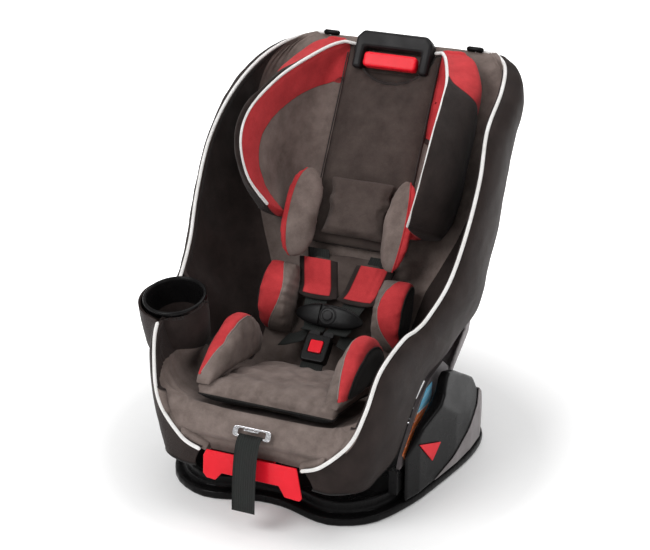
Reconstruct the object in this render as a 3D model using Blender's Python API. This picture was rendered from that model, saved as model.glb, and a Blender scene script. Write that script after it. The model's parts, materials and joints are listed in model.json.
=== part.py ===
"""Convertible child car seat, modelled as the pieces that it comes apart into.

Metres, +Z up. +X is the child's left, -Y is the way the child faces. The origin is on the mid-plane,
on the flat underside of the base. The seat body tips on the base about a centre above the child's
lap, and the headrest slides along the back.
"""

import math

import bmesh
import bpy
from mathutils import Matrix, Vector

# ---- Driving dimensions ----
BACK_ANGLE = math.radians(32.0)      # the back leans this far from upright
PAN_ANGLE = math.radians(14.7)       # the seat pan rises this much towards the front
BIGHT = Vector((0.0, -0.0036, 0.134))  # where the cushions of the seat and the back meet
RECLINE_CENTRE = Vector((0.0, -0.10, 0.47))
RAIL_RADIUS = 0.400                  # the rails' lower edge, about the recline centre
RAIL_X = (0.1835, 0.1893)
TRACK_CLEARANCE = 0.0012             # under the rails' lower edge
TRACK_SPAN_Y = (-0.165, 0.085)
TRACK_INNER_X = 0.176
TOWER_INNER_X = (0.1925, 0.2075)     # at the tower's front and rear
TOWER_SPAN_Y = (-0.145, 0.112)
FLANGE_TOP = 0.014
PLATEAU_TOP = 0.034
LINER_DEPTH = -0.028                 # the padded liner's face on the back, behind the cushions' face
LINER_THICK = 0.008
SHELL_GAP = 0.0112
SHELL_THICK = 0.0035
COVER_THICK = 0.005
COVER_START = 0.007                  # the cover's edge outside the rim's piping
FRONT_STEP = 0.0100                  # and this much more along the front
WEBBING_W = 0.038
WEBBING_T = 0.0015
GAP = 0.0005                         # left between pieces that touch
CUP_CENTRE = Vector((-0.187, -0.150, 0.291))
CUP_TILT = math.radians(12.0)
CUP_RADIUS = 0.050
CUP_DEPTH = 0.085

BACK_UP = Vector((0.0, math.sin(BACK_ANGLE), math.cos(BACK_ANGLE)))
BACK_OUT = Vector((0.0, -math.cos(BACK_ANGLE), math.sin(BACK_ANGLE)))
PAN_FORE = Vector((0.0, -math.cos(PAN_ANGLE), math.sin(PAN_ANGLE)))
PAN_UP = Vector((0.0, math.sin(PAN_ANGLE), math.cos(PAN_ANGLE)))
SIDES = (("left", 1.0), ("right", -1.0))


def back(x, s, d):
    """A point x across, s up along the back and d in front of its plane."""
    return BIGHT + Vector((x, 0.0, 0.0)) + BACK_UP * s + BACK_OUT * d


def pan(x, q, h):
    """A point x across, q forward along the seat pan and h above it."""
    return BIGHT + Vector((x, 0.0, 0.0)) + PAN_FORE * q + PAN_UP * h


# The rim of the seat, from the top of the back to the front, with the liner's middle opposite it,
# the hem of the outer cover on the far side of the wall, how far the cover bulges past the rim, and
# the liner's half width down at the pan or the back.
STATIONS = (
    ((0.157, 0.338, 0.584), back(0, 0.560, -0.034), back(0.130, 0.545, -0.062), 0.020, 0.152),
    ((0.190, 0.285, 0.580), back(0, 0.531, LINER_DEPTH), back(0.155, 0.515, -0.062), 0.024, 0.178),
    ((0.210, 0.207, 0.563), back(0, 0.475, LINER_DEPTH), back(0.170, 0.470, -0.064), 0.026, 0.192),
    ((0.218, 0.118, 0.529), back(0, 0.399, LINER_DEPTH), back(0.178, 0.399, -0.064), 0.024, 0.198),
    ((0.228, 0.060, 0.470), back(0, 0.320, LINER_DEPTH), back(0.184, 0.320, -0.064), 0.017, 0.198),
    ((0.226, 0.010, 0.400), back(0, 0.235, LINER_DEPTH), back(0.190, 0.240, -0.064), 0.019, 0.192),
    ((0.217, -0.035, 0.338), back(0, 0.155, LINER_DEPTH), back(0.198, 0.150, -0.056), 0.022, 0.176),
    ((0.205, -0.090, 0.303), back(0, 0.075, LINER_DEPTH), Vector((0.199, 0.055, 0.205)), 0.022, 0.164),
    ((0.198, -0.122, 0.294), Vector((0.0, 0.008, 0.112)), Vector((0.199, 0.000, 0.200)), 0.022, 0.160),
    ((0.190, -0.157, 0.291), pan(0, 0.060, -0.030), Vector((0.190, -0.085, 0.180)), 0.021, 0.158),
    ((0.181, -0.222, 0.268), pan(0, 0.200, -0.030), Vector((0.184, -0.160, 0.105)), 0.016, 0.157),
    ((0.170, -0.249, 0.215), pan(0, 0.243, -0.025), Vector((0.173, -0.210, 0.080)), 0.012, 0.156),
    ((0.150, -0.263, 0.167), Vector((0.0, -0.268, 0.150)), Vector((0.157, -0.248, 0.076)), 0.008, 0.145),
    ((0.110, -0.274, 0.127), Vector((0.0, -0.2735, 0.124)), Vector((0.126, -0.266, 0.076)), 0.010, 0.110),
    ((0.080, -0.276, 0.114), Vector((0.0, -0.2735, 0.108)), Vector((0.097, -0.270, 0.078)), 0.009, 0.080),
)
LAST = len(STATIONS) - 1
COLUMNS = (Vector, Vector, Vector, float, float)
CORNER_POWER = 5.0                   # how square the corner between the pan or back and the walls is


def spline(values, t):
    """Catmull-Rom through evenly spaced values, t from 0 to len(values) - 1."""
    i = min(int(t), len(values) - 2)
    f = t - i
    a, b, c, d = (values[min(max(k, 0), len(values) - 1)] for k in range(i - 1, i + 3))
    return (b * 2 + (c - a) * f + (a * 2 - b * 5 + c * 4 - d) * f * f
            + (b * 3 - a - c * 3 + d) * f ** 3) * 0.5


def station(u):
    """(rim, middle, hem, bulge, floor width) at u from 0, the top, to LAST, the front."""
    return [spline([column(row[k]) for row in STATIONS], u) for k, column in enumerate(COLUMNS)]


def inner(u, v):
    """The liner's face: v is 0 on the mid-plane and +1 or -1 at the rims."""
    rim, middle, _, _, floor = station(u)
    angle = min(abs(v), 1.0) * math.pi / 2
    across = math.sin(angle) ** (2 / CORNER_POWER)
    rise = 1.0 - max(math.cos(angle), 0.0) ** (2 / CORNER_POWER)
    point = middle + (rim - middle) * rise
    wide = across * (floor + (rim.x - floor) * rise)
    return Vector((math.copysign(wide, v), point.y, point.z))


def behind(u, v, offset):
    """The point that far behind the liner's face, away from the child."""
    step = 0.02
    along = inner(min(u + step, LAST), v) - inner(max(u - step, 0), v)
    side = min(max(v, -0.97), 0.97)
    across = inner(u, side + step) - inner(u, side - step)
    return inner(u, v) + across.cross(along).normalized() * offset


def outer(u, w, side, sink=0.0):
    """The outer cover: w runs from 0 at the rim to 1 at the hem, sink goes into its thickness."""
    rim, _, hem, bulge, _ = station(u)
    start = rim + Vector((COVER_START + FRONT_STEP * min(max(u - 10.0, 0.0), 1.0), 0.0, 0.0))
    widest = max(rim.x, hem.x) + bulge
    handle_x = (widest - (start.x + hem.x) / 8) / 0.75
    first = start + (hem - rim) * 0.05
    second = hem + (rim - hem) * 0.20
    first.x = second.x = handle_x
    a, b, c, d = (1 - w) ** 3, 3 * w * (1 - w) ** 2, 3 * w * w * (1 - w), w ** 3
    point = start * a + first * b + second * c + hem * d
    slope = (first - start) * (1 - w) ** 2 + (second - first) * 2 * w * (1 - w) + (hem - second) * w * w
    toward_hem = Vector((0.0, hem.y - rim.y, hem.z - rim.z)).normalized()
    normal = toward_hem * slope.x - Vector((slope.dot(toward_hem), 0.0, 0.0))
    point = point + normal.normalized() * sink
    return Vector((point.x * side, point.y, point.z))


# ---- Making nodes ----
for item in list(bpy.data.objects):
    bpy.data.objects.remove(item, do_unlink=True)


def material(name, colour, roughness, metallic=0.0):
    made = bpy.data.materials.new(name)
    made.use_nodes = True
    shader = made.node_tree.nodes["Principled BSDF"]
    shader.inputs["Base Color"].default_value = (*colour, 1.0)
    shader.inputs["Roughness"].default_value = roughness
    shader.inputs["Metallic"].default_value = metallic
    return made


BLACK = material("black_plastic", (0.012, 0.012, 0.013), 0.42)
GREY = material("grey_plastic", (0.17, 0.145, 0.145), 0.5)
SHELL = material("shell_plastic", (0.10, 0.088, 0.09), 0.5)
FOAM_TAUPE = material("taupe_suede", (0.14, 0.112, 0.098), 0.9)
SATIN = material("dark_satin", (0.030, 0.020, 0.018), 0.55)
RED_CLOTH = material("red_fabric", (0.42, 0.035, 0.04), 0.8)
RED_PLASTIC = material("red_plastic", (0.80, 0.012, 0.03), 0.35)
WEBBING = material("webbing", (0.018, 0.022, 0.018), 0.75)
STEEL = material("steel", (0.55, 0.55, 0.56), 0.3, 1.0)
LABEL = material("label", (0.85, 0.12, 0.03), 0.5)


def make(name, mesh_data, finish):
    """An object from a bmesh, with its faces pointing out."""
    bmesh.ops.recalc_face_normals(mesh_data, faces=mesh_data.faces)
    mesh = bpy.data.meshes.new(name)
    mesh_data.to_mesh(mesh)
    mesh_data.free()
    mesh.materials.append(finish)
    mesh.shade_smooth()
    mesh.set_sharp_from_angle(angle=math.radians(35))
    made = bpy.data.objects.new(name, mesh)
    bpy.context.scene.collection.objects.link(made)
    return made


def skin(name, front, rear, columns, rows, finish):
    """A closed solid between two faces, each a function of (i / columns, j / rows)."""
    bm = bmesh.new()
    faces = []
    for face in (front, rear):
        faces.append([[bm.verts.new(face(i / columns, j / rows)) for j in range(rows + 1)]
                      for i in range(columns + 1)])
    for grid in faces:
        for i in range(columns):
            for j in range(rows):
                bm.faces.new((grid[i][j], grid[i + 1][j], grid[i + 1][j + 1], grid[i][j + 1]))
    top, low = faces
    for i in range(columns):
        bm.faces.new((top[i][0], top[i + 1][0], low[i + 1][0], low[i][0]))
        bm.faces.new((top[i][rows], top[i + 1][rows], low[i + 1][rows], low[i][rows]))
    for j in range(rows):
        bm.faces.new((top[0][j], top[0][j + 1], low[0][j + 1], low[0][j]))
        bm.faces.new((top[columns][j], top[columns][j + 1], low[columns][j + 1], low[columns][j]))
    return make(name, bm, finish)


def loft(name, rings, finish):
    """A closed solid through rings of equally many points."""
    bm = bmesh.new()
    made = [[bm.verts.new(point) for point in ring] for ring in rings]
    count = len(made[0])
    for low, high in zip(made, made[1:]):
        for k in range(count):
            bm.faces.new((low[k], low[(k + 1) % count], high[(k + 1) % count], high[k]))
    bm.faces.new(made[0])
    bm.faces.new(made[-1])
    return make(name, bm, finish)


def prism(name, outline, place, low, high, finish):
    """An outline of (a, b) pairs, extruded from low to high; place(a, b, c) gives the point."""
    rings = [[place(a, b, depth) for a, b in outline] for depth in (low, high)]
    return loft(name, rings, finish)


def side_view(a, b, c):
    return Vector((c, a, b))


def plan_view(a, b, c):
    return Vector((a, b, c))


def front_view(a, b, c):
    return Vector((a, c, b))


def round_loop(points, steps):
    """A closed smooth outline through the points."""
    count = len(points)
    closed = [Vector(points[k % count]) for k in range(-1, count + 2)]
    out = []
    for k in range(count):
        for j in range(steps):
            found = spline(closed, 1 + k + j / steps)
            out.append((found.x, found.y))
    return out


def box_outline(a0, a1, b0, b1, corner, steps=3):
    """A rectangle with round corners."""
    out = []
    for k, (a, b) in enumerate(((a1 - corner, b1 - corner), (a0 + corner, b1 - corner),
                                (a0 + corner, b0 + corner), (a1 - corner, b0 + corner))):
        for j in range(steps + 1):
            angle = math.pi / 2 * (k + j / steps)
            out.append((a + corner * math.cos(angle), b + corner * math.sin(angle)))
    return out


def bevelled(made, width, segments=2):
    bevel = made.modifiers.new("Bevel", "BEVEL")
    bevel.width = width
    bevel.segments = segments
    bevel.limit_method = "ANGLE"
    bevel.angle_limit = math.radians(40)
    return made


def cut(made, other, operation="DIFFERENCE"):
    """A Boolean with a hidden helper."""
    other.hide_render = True
    other.display_type = "WIRE"
    boolean = made.modifiers.new("Boolean", "BOOLEAN")
    boolean.operation = operation
    boolean.object = other
    return made


def ribbon(name, path, width, thick, finish, across=Vector((1.0, 0.0, 0.0))):
    """A flat strap: path is a list of (point, facing) and facing is the strap's normal there."""
    rings = []
    for k, (point, facing) in enumerate(path):
        ahead = path[min(k + 1, len(path) - 1)][0] - path[max(k - 1, 0)][0]
        side = ahead.cross(facing).normalized() if across is None else across
        up = facing.normalized() * thick / 2
        half = side * width / 2
        rings.append([point - half - up, point + half - up, point + half + up, point - half + up])
    return loft(name, rings, finish)


def turned(name, profile, centre, axis_turn, finish, steps=28):
    """A closed ring turned from (radius, height) pairs about a tilted axis."""
    bm = bmesh.new()
    rings = []
    for k in range(steps):
        angle = 2 * math.pi * k / steps
        rings.append([bm.verts.new(centre + axis_turn @ Vector((r * math.cos(angle), r * math.sin(angle), z)))
                      if r > 0 else None for r, z in profile])
    poles = [bm.verts.new(centre + axis_turn @ Vector((0, 0, z))) if r == 0 else None for r, z in profile]
    for k in range(steps):
        this, following = rings[k], rings[(k + 1) % steps]
        for j in range(len(profile) - 1):
            corners = []
            for vert, pole in ((this[j], poles[j]), (this[j + 1], poles[j + 1]),
                               (following[j + 1], poles[j + 1]), (following[j], poles[j])):
                chosen = vert or pole
                if chosen not in corners:
                    corners.append(chosen)
            if len(corners) > 2:
                bm.faces.new(corners)
    return make(name, bm, finish)


def empty(name, place):
    made = bpy.data.objects.new(name, None)
    made.location = place
    bpy.context.scene.collection.objects.link(made)
    return made


def hang(parent, *children):
    """Parents the children, so that they turn about the empty's place."""
    for child in children:
        child.parent = parent
        child.matrix_parent_inverse = Matrix.Translation(parent.location).inverted()


# ---- Base ----
FLOOR_HALF = ((0.0, -0.214), (0.035, -0.219), (0.070, -0.231), (0.105, -0.236), (0.142, -0.223),
              (0.172, -0.197), (0.195, -0.150), (0.210, -0.105), (0.222, -0.050), (0.232, 0.0),
              (0.238, 0.045), (0.238, 0.090), (0.228, 0.125), (0.200, 0.148), (0.120, 0.158))
PLATEAU_HALF = ((0.0, -0.197), (0.040, -0.202), (0.075, -0.214), (0.105, -0.219), (0.137, -0.206),
                (0.162, -0.180), (0.180, -0.140), (0.1895, -0.095), (0.1895, 0.0), (0.1895, 0.090),
                (0.175, 0.128), (0.110, 0.143))
TOWER_PROFILE = ((-0.150, FLANGE_TOP + GAP), (-0.147, 0.092), (-0.106, 0.124), (-0.060, 0.139),
                 (-0.034, 0.150), (-0.022, 0.172), (-0.012, 0.177), (0.020, 0.165), (0.066, 0.137),
                 (0.083, 0.126), (0.090, 0.104), (0.105, 0.082), (0.113, 0.058), (0.108, 0.030),
                 (0.096, FLANGE_TOP + GAP))
TOWER_OUTER_X = ((0.1975, -0.147), (0.208, -0.116), (0.220, -0.054), (0.229, -0.009), (0.2345, 0.042),
                 (0.2345, 0.085), (0.228, 0.113))
PANEL_PROFILE = ((0.092, 0.104), (0.060, 0.074), (0.030, 0.054), (-0.020, 0.032), (-0.075, FLANGE_TOP + 0.004),
                 (0.20, FLANGE_TOP + 0.004), (0.20, 0.104))
PANEL_INNER_X = 0.2085
PANEL_PROUD = 0.0022                 # the grey panel's face outside the tower's
UNDERSIDE_POCKETS = ((-0.165, -0.030, -0.120, -0.020), (0.030, 0.165, -0.120, -0.020),
                     (-0.165, -0.030, 0.015, 0.120), (0.030, 0.165, 0.015, 0.120))  # x and y spans
POCKET_ROOF = PLATEAU_TOP - 0.005


def mirrored(half):
    """The whole outline from its right half, which starts on the mid-plane."""
    other = [(-x, y) for x, y in reversed(half) if x > 0]
    return list(half) + other


def stepped_pan():
    """The flange that stands on the floor and the plateau on it, as one moulding."""
    flange = prism("base_pan", round_loop(mirrored(FLOOR_HALF), 2), plan_view, 0.0, FLANGE_TOP, BLACK)
    plateau = prism("plateau_helper", round_loop(mirrored(PLATEAU_HALF), 2), plan_view,
                    FLANGE_TOP - 0.004, PLATEAU_TOP, BLACK)
    cut(flange, plateau, "UNION")
    bevelled(flange, 0.003)
    for x0, x1, y0, y1 in UNDERSIDE_POCKETS:
        outline = box_outline(x0, x1, y0, y1, 0.012)
        cut(flange, prism("pan_pocket_helper", outline, plan_view, -0.01, POCKET_ROOF, BLACK))
    return flange


def tower_block(name, side, grow):
    """The tower's shape, grown outwards by grow: its plan, its profile and its lean together."""
    outline = [(x + grow, y) for x, y in TOWER_OUTER_X]
    outline += [(TOWER_INNER_X[1], TOWER_SPAN_Y[1] + 0.001), (TOWER_INNER_X[0], TOWER_SPAN_Y[0] - 0.002)]
    plan = prism(name, [(x * side, y) for x, y in outline], plan_view, 0.0, 0.30, BLACK)
    profile = [(y + (grow if y > 0.08 else 0.0), z) for y, z in TOWER_PROFILE]
    cut(plan, prism(name + "_profile", profile, side_view, -0.3, 0.3, BLACK), "INTERSECT")
    lean = [(0.15 * side, 0.0), ((0.245 + grow) * side, 0.0), ((0.2385 + grow) * side, 0.070),
            ((0.217 + grow) * side, 0.150), ((0.212 + grow) * side, 0.30), (0.15 * side, 0.30)]
    cut(plan, prism(name + "_lean", lean, front_view, -0.3, 0.3, BLACK), "INTERSECT")
    return plan


def rail_arc(radius, y0, y1, steps=14):
    """(y, z) points on an arc about the recline centre."""
    out = []
    for k in range(steps + 1):
        y = y0 + (y1 - y0) * k / steps
        drop = math.sqrt(radius * radius - (y - RECLINE_CENTRE.y) ** 2)
        out.append((y, RECLINE_CENTRE.z - drop))
    return out


ROD_TRACK = 0.390
ROD_AT = (-0.030, RECLINE_CENTRE.z - math.sqrt(ROD_TRACK ** 2 - (-0.030 - RECLINE_CENTRE.y) ** 2))
ROD_RADIUS = 0.005
ROD_HOLE = 0.0056
ROD_HALF = 0.2055                    # half its length
SLOT_RADIUS = 0.0065


def rod_slot(side):
    """The curved slot in a tower's inner wall, in which the recline rod's end runs."""
    path = rail_arc(ROD_TRACK, ROD_AT[0] - 0.030, ROD_AT[0] + 0.077, 10)
    outline = []
    for sign in (1, -1):
        for y, z in path[::sign]:
            away = Vector((y - RECLINE_CENTRE.y, z - RECLINE_CENTRE.z)).normalized() * SLOT_RADIUS * sign
            outline.append((y + away.x, z + away.y))
    inner_x = TOWER_INNER_X[0] - 0.01
    low, high = sorted((inner_x * side, (inner_x + 0.027) * side))
    return prism("slot_helper", outline, side_view, low, high, BLACK)


base_pan = stepped_pan()
for side_name, side in SIDES:
    tower = tower_block("base_tower_" + side_name, side, 0.0)
    cut(tower, rod_slot(side))
    bevelled(tower, 0.0035)
    panel = tower_block("base_panel_" + side_name, side, PANEL_PROUD)
    panel.data.materials[0] = GREY
    low, high = sorted((PANEL_INNER_X * side, 0.3 * side))
    area = prism("panel_area_" + side_name, PANEL_PROFILE, side_view, low, high, GREY)
    cut(panel, area, "INTERSECT")
    cut(panel, tower_block("panel_cut_" + side_name, side, GAP))
    track = rail_arc(RAIL_RADIUS + TRACK_CLEARANCE, *TRACK_SPAN_Y)
    track = [(TRACK_SPAN_Y[0], PLATEAU_TOP + GAP)] + track + [(TRACK_SPAN_Y[1], PLATEAU_TOP + GAP)]
    low, high = sorted((TRACK_INNER_X * side, RAIL_X[1] * side))
    prism("recline_track_" + side_name, track, side_view, low, high, BLACK)

RACK_TEETH = 6
RACK_PITCH = math.radians(2.4)
RACK_RADIUS = 0.412


def rack_outline():
    """The toothed arc in the middle of the base, one notch for each recline position."""
    out = [(-0.150, PLATEAU_TOP + GAP)]
    for k in range(2 * RACK_TEETH + 1):
        start = RACK_PITCH * (k / 2 - RACK_TEETH / 2 - 0.1)
        radius = RACK_RADIUS if k % 2 else RACK_RADIUS + 0.007
        for angle in (start, start + RACK_PITCH / 2.6):
            out.append((RECLINE_CENTRE.y + radius * math.sin(angle),
                        RECLINE_CENTRE.z - radius * math.cos(angle)))
    out.append((-0.045, PLATEAU_TOP + GAP))
    return out


prism("recline_rack", rack_outline(), side_view, -0.018, 0.018, STEEL)

ARROW = ((-0.121, 0.103), (-0.060, 0.080), (-0.083, 0.058))
ARROW_FACE = (0.2085, -0.116, 0.194)  # the tower's outer face there: x at y, and its slope
arrow_rings = []
for proud in (GAP, 0.0020):
    arrow_rings.append([Vector((ARROW_FACE[0] + (y - ARROW_FACE[1]) * ARROW_FACE[2] + proud, y, z))
                        for y, z in ARROW])
loft("level_arrow", arrow_rings, LABEL)

SCREW_PLACES = ((0.120, -0.170), (-0.120, -0.170), (0.120, 0.105), (-0.120, 0.105))
SCREW_HEAD = ((0, 0.0035), (0.0045, 0.0030), (0.0062, 0.0012), (0.0062, GAP), (0, GAP))
for number, (x, y) in enumerate(SCREW_PLACES, 1):
    turned(f"base_screw_{number}", SCREW_HEAD, Vector((x, y, PLATEAU_TOP)), Matrix.Identity(3), STEEL, 16)

# ---- Seat body ----
recline = empty("recline_axis", RECLINE_CENTRE)
CUP_TURN = Matrix.Rotation(CUP_TILT, 3, "X")
LINER_EDGE = 0.985                   # how far out the liner reaches, of the way to the rim
SHELL_EDGE = 0.93
SHELL_START, SHELL_END = 0.2, LAST - 2.8
COVER_FIRST, COVER_END = 0.05, LAST - 0.4
COVER_THINNING = 0.68                # of the cover's thickness, gone by its front end


def liner_front(i, j):
    return inner(i * LAST, (j * 2 - 1) * LINER_EDGE)


def liner_rear(i, j):
    return behind(i * LAST, (j * 2 - 1) * LINER_EDGE, LINER_THICK)


def shell_face(offset):
    """The shell's face that far behind the liner's."""
    def face(i, j):
        return behind(SHELL_START + i * (SHELL_END - SHELL_START), (j * 2 - 1) * SHELL_EDGE, offset)
    return face


def cover_face(side, thick):
    """The outer cover's face, at that depth into its thickness."""
    def face(i, j):
        u = COVER_FIRST + i * (COVER_END - COVER_FIRST)
        return outer(u, j, side, thick * (1.0 - COVER_THINNING * i))
    return face


def cup_space(radius, name):
    """A column about the cup's axis, from just under the cup to above the rim."""
    above, below = 0.08, -CUP_DEPTH - 0.012
    profile = ((0, above), (radius, above), (radius, below), (0, below))
    return turned(name, profile, CUP_CENTRE, CUP_TURN, BLACK, 24)


seat_liner = skin("seat_liner", liner_front, liner_rear, 28, 14, FOAM_TAUPE)
seat_shell = skin("seat_shell", shell_face(SHELL_GAP), shell_face(SHELL_GAP + SHELL_THICK), 25, 14, SHELL)
covers = [skin("outer_cover_" + side_name, cover_face(side, 0.0), cover_face(side, COVER_THICK), 26, 5, SATIN)
          for side_name, side in SIDES]
for wall in (seat_liner, seat_shell, covers[1]):
    cut(wall, cup_space(CUP_RADIUS + 0.002, "cup_space_helper"))
hang(recline, seat_liner, seat_shell, *covers)

# Rear tub, side rails and the rod that runs in the towers' slots
TUB_RINGS = ((0.015, 0.150, -0.062), (0.035, 0.186, -0.090), (0.110, 0.198, -0.104), (0.190, 0.198, -0.092),
             (0.255, 0.170, -0.072))  # s up the back, half width, depth behind the back's plane
HOLLOW_RINGS = ((0.022, 0.164, -0.072), (0.040, 0.186, -0.090), (0.110, 0.198, -0.104), (0.190, 0.198, -0.092),
                (0.246, 0.174, -0.0745))
TUB_FACE = -0.066
TUB_WALL = 0.004
TUB_SLOT = box_outline(0.148, 0.170, -0.0035, 0.0035, 0.003)


def tub_ring(s, half, depth, wall=0.0):
    """A section across the tub, shrunk by the wall for the hollow inside it."""
    half, depth, tub_face = half - wall, depth + wall, TUB_FACE + wall * 3
    outline = [(-half, tub_face), (half, tub_face), (half, depth * 0.55 + tub_face * 0.45),
               (half * 0.93, depth), (-half * 0.93, depth), (-half, depth * 0.55 + tub_face * 0.45)]
    return [back(x, s, d) for x, d in outline]


def tub_slot_place(a, b, c):
    return back(c, a + b * 0.3, -0.078 + b)


rear_tub = bevelled(loft("shell_rear_tub", [tub_ring(*row) for row in TUB_RINGS], GREY), 0.004)
cut(rear_tub, loft("tub_hollow_helper", [tub_ring(*row, TUB_WALL) for row in HOLLOW_RINGS], GREY))
for side_name, side in SIDES:
    middle = 0.190 * side
    cut(rear_tub, prism("tub_slot_helper", TUB_SLOT, tub_slot_place, middle - 0.02, middle + 0.02, BLACK))
hang(recline, rear_tub)

for side_name, side in SIDES:
    lower = rail_arc(RAIL_RADIUS, -0.155, 0.060)
    upper = [(0.058, 0.150), (0.030, 0.172), (-0.030, 0.168), (-0.072, 0.152), (-0.112, 0.118), (-0.145, 0.090)]
    low, high = sorted((RAIL_X[0] * side, RAIL_X[1] * side))
    rail = prism("side_rail_" + side_name, lower + upper, side_view, low, high, SHELL)
    hole = box_outline(ROD_AT[0] - ROD_HOLE, ROD_AT[0] + ROD_HOLE, ROD_AT[1] - ROD_HOLE, ROD_AT[1] + ROD_HOLE, 0.005)
    cut(rail, prism("rod_hole_helper", hole, side_view, -0.3, 0.3, BLACK))
    hang(recline, rail)
ROD_TURN = Matrix.Rotation(math.pi / 2, 3, "Y")
rod = turned("recline_rod", ((0, ROD_HALF), (ROD_RADIUS, ROD_HALF), (ROD_RADIUS, -ROD_HALF), (0, -ROD_HALF)),
             Vector((0.0, *ROD_AT)), ROD_TURN, STEEL, 16)
LABEL_PROFILE = ((-0.146, 0.094), (-0.132, 0.078), (-0.060, 0.112), (-0.022, 0.136), (-0.020, 0.160),
                 (-0.046, 0.160), (-0.112, 0.117))
LABEL_X = RAIL_X[1] + GAP
LABEL_THICK = 0.0006
level_label = prism("level_label", LABEL_PROFILE, side_view, LABEL_X, LABEL_X + LABEL_THICK, LABEL)
splitter = prism("harness_splitter_plate", box_outline(-0.022, 0.022, 0.045, 0.085, 0.006), back, -0.062, -0.058,
                 STEEL)
hang(recline, rod, level_label, splitter)

# ---- Body support ----
def cushion_face(place, outline_width, near, far, height, crown):
    """A crowned face: i runs across, j runs from near to far."""
    def face(i, j):
        along = near + (far - near) * j
        x = (i * 2 - 1) * outline_width(j)
        return place(x, along, height + crown * (16 * i * (1 - i) * j * (1 - j)) ** 0.6)
    return face


def seat_width(j):
    return 0.100 + 0.018 * j


def back_width(j):
    return 0.082 - 0.006 * j


def bolster_on_pan(a, b, c):
    return pan(c, a, b)


def bolster_on_back(a, b, c):
    return back(c, a, b)


seat_cushion = skin("seat_cushion", cushion_face(pan, seat_width, 0.014, 0.240, -0.002, 0.007),
                    cushion_face(pan, seat_width, 0.014, 0.240, -0.0205, -0.002), 10, 10, FOAM_TAUPE)
back_pad = skin("back_pad", cushion_face(back, back_width, 0.032, 0.200, -0.010, 0.004),
                cushion_face(back, back_width, 0.032, 0.200, -0.0256, 0.0), 8, 8, FOAM_TAUPE)
hang(recline, seat_cushion, back_pad)
SEAT_BOLSTER = ((0.232, 0.004), (0.230, 0.012), (0.205, 0.042), (0.170, 0.080), (0.140, 0.098), (0.112, 0.101),
                (0.080, 0.093), (0.052, 0.073), (0.034, 0.046), (0.026, 0.020), (0.026, 0.004))
BACK_BOLSTER = ((0.048, -0.017), (0.160, -0.017), (0.172, -0.006), (0.166, 0.026), (0.142, 0.046), (0.100, 0.052),
                (0.066, 0.047), (0.046, 0.024))
for side_name, side in SIDES:
    low, high = sorted((0.088 * side, 0.122 * side))
    bolster = prism("seat_bolster_" + side_name, SEAT_BOLSTER, bolster_on_pan, low, high, RED_CLOTH)
    hang(recline, bevelled(bolster, 0.009, 3))
    low, high = sorted((0.0855 * side, 0.124 * side))
    bolster = prism("back_bolster_" + side_name, BACK_BOLSTER, bolster_on_back, low, high, RED_CLOTH)
    hang(recline, bevelled(bolster, 0.009, 3))

# ---- Cup holder, on the child's right ----
CUP_WALL = 0.0025
CUP_FLOOR = -CUP_DEPTH + 0.0015      # under the liner
housing_profile = ((0, -CUP_DEPTH - 0.0035), (0.038, -CUP_DEPTH - 0.0035), (0.046, -0.012), (0.0495, -0.006),
                   (0.0495, -0.0035), (0.0445, -0.0035), (0.0385, -CUP_DEPTH + 0.0005), (0, -CUP_DEPTH + 0.0005))
cup_housing = turned("cup_housing", housing_profile, CUP_CENTRE, CUP_TURN, SATIN)
liner_profile = ((0, CUP_FLOOR), (0.0365, CUP_FLOOR), (0.0435, -0.0028), (0.0500, -0.0028), (0.0510, 0.0),
                 (0.0500, 0.0045), (0.0460, 0.0055), (0.0425, 0.0035), (0.0415, 0.0),
                 (0.0345, CUP_FLOOR + CUP_WALL), (0, CUP_FLOOR + CUP_WALL))
cup_liner = turned("cup_liner", liner_profile, CUP_CENTRE, CUP_TURN, BLACK)
cup_axis = empty("cup_lift_axis", CUP_CENTRE)
hang(recline, cup_housing, cup_axis)
hang(cup_axis, cup_liner)

# ---- Harness ----
STRAP_LOW, STRAP_HIGH = 0.0235, -0.0045


def strap_depth(s):
    """How far the shoulder straps lie in front of the back's plane, s up the back."""
    t = min(max((s - 0.090) / 0.045, 0.0), 1.0)
    return STRAP_LOW + (STRAP_HIGH - STRAP_LOW) * (3 * t * t - 2 * t * t * t)


BUCKLE_LEAN = math.atan2(0.036, 0.054)
BUCKLE_AT = (0.041, 0.040)            # forward along the seat pan, and above it


def buckle(a, b, c):
    """A point on the buckle: a across, b along it upwards and c out of its face."""
    sine, cosine = math.sin(BUCKLE_LEAN), math.cos(BUCKLE_LEAN)
    return pan(a, BUCKLE_AT[0] - sine * b + cosine * c, BUCKLE_AT[1] + cosine * b + sine * c)


BUCKLE_HALF_L = 0.023
housing = prism("buckle_housing", box_outline(-0.021, 0.021, -BUCKLE_HALF_L, BUCKLE_HALF_L, 0.006), buckle,
                -0.009, 0.009, BLACK)
bevelled(housing, 0.0018)
BUTTON_POCKET = box_outline(-0.0115, 0.0115, -0.009, 0.013, 0.002)
cut(housing, prism("button_pocket_helper", BUTTON_POCKET, buckle, 0.003, 0.02, BLACK))
button = prism("buckle_button", box_outline(-0.0108, 0.0108, -0.0083, 0.0123, 0.002), buckle, 0.0062, 0.0102,
               RED_PLASTIC)
CROTCH_ROUTE = [(pan(0, 0.0760, 0.0085), PAN_UP), (pan(0, 0.0690, 0.0100), PAN_UP + PAN_FORE * 0.4),
                (buckle(0, -BUCKLE_HALF_L - 0.0007, 0.0), PAN_FORE * 0.83 + PAN_UP * 0.55)]
crotch = ribbon("crotch_strap", CROTCH_ROUTE, WEBBING_W, 0.002, WEBBING)
button_axis = empty("buckle_button_axis", buckle(0, 0.002, 0.008))
hang(recline, housing, crotch, button_axis)
hang(button_axis, button)

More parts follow.
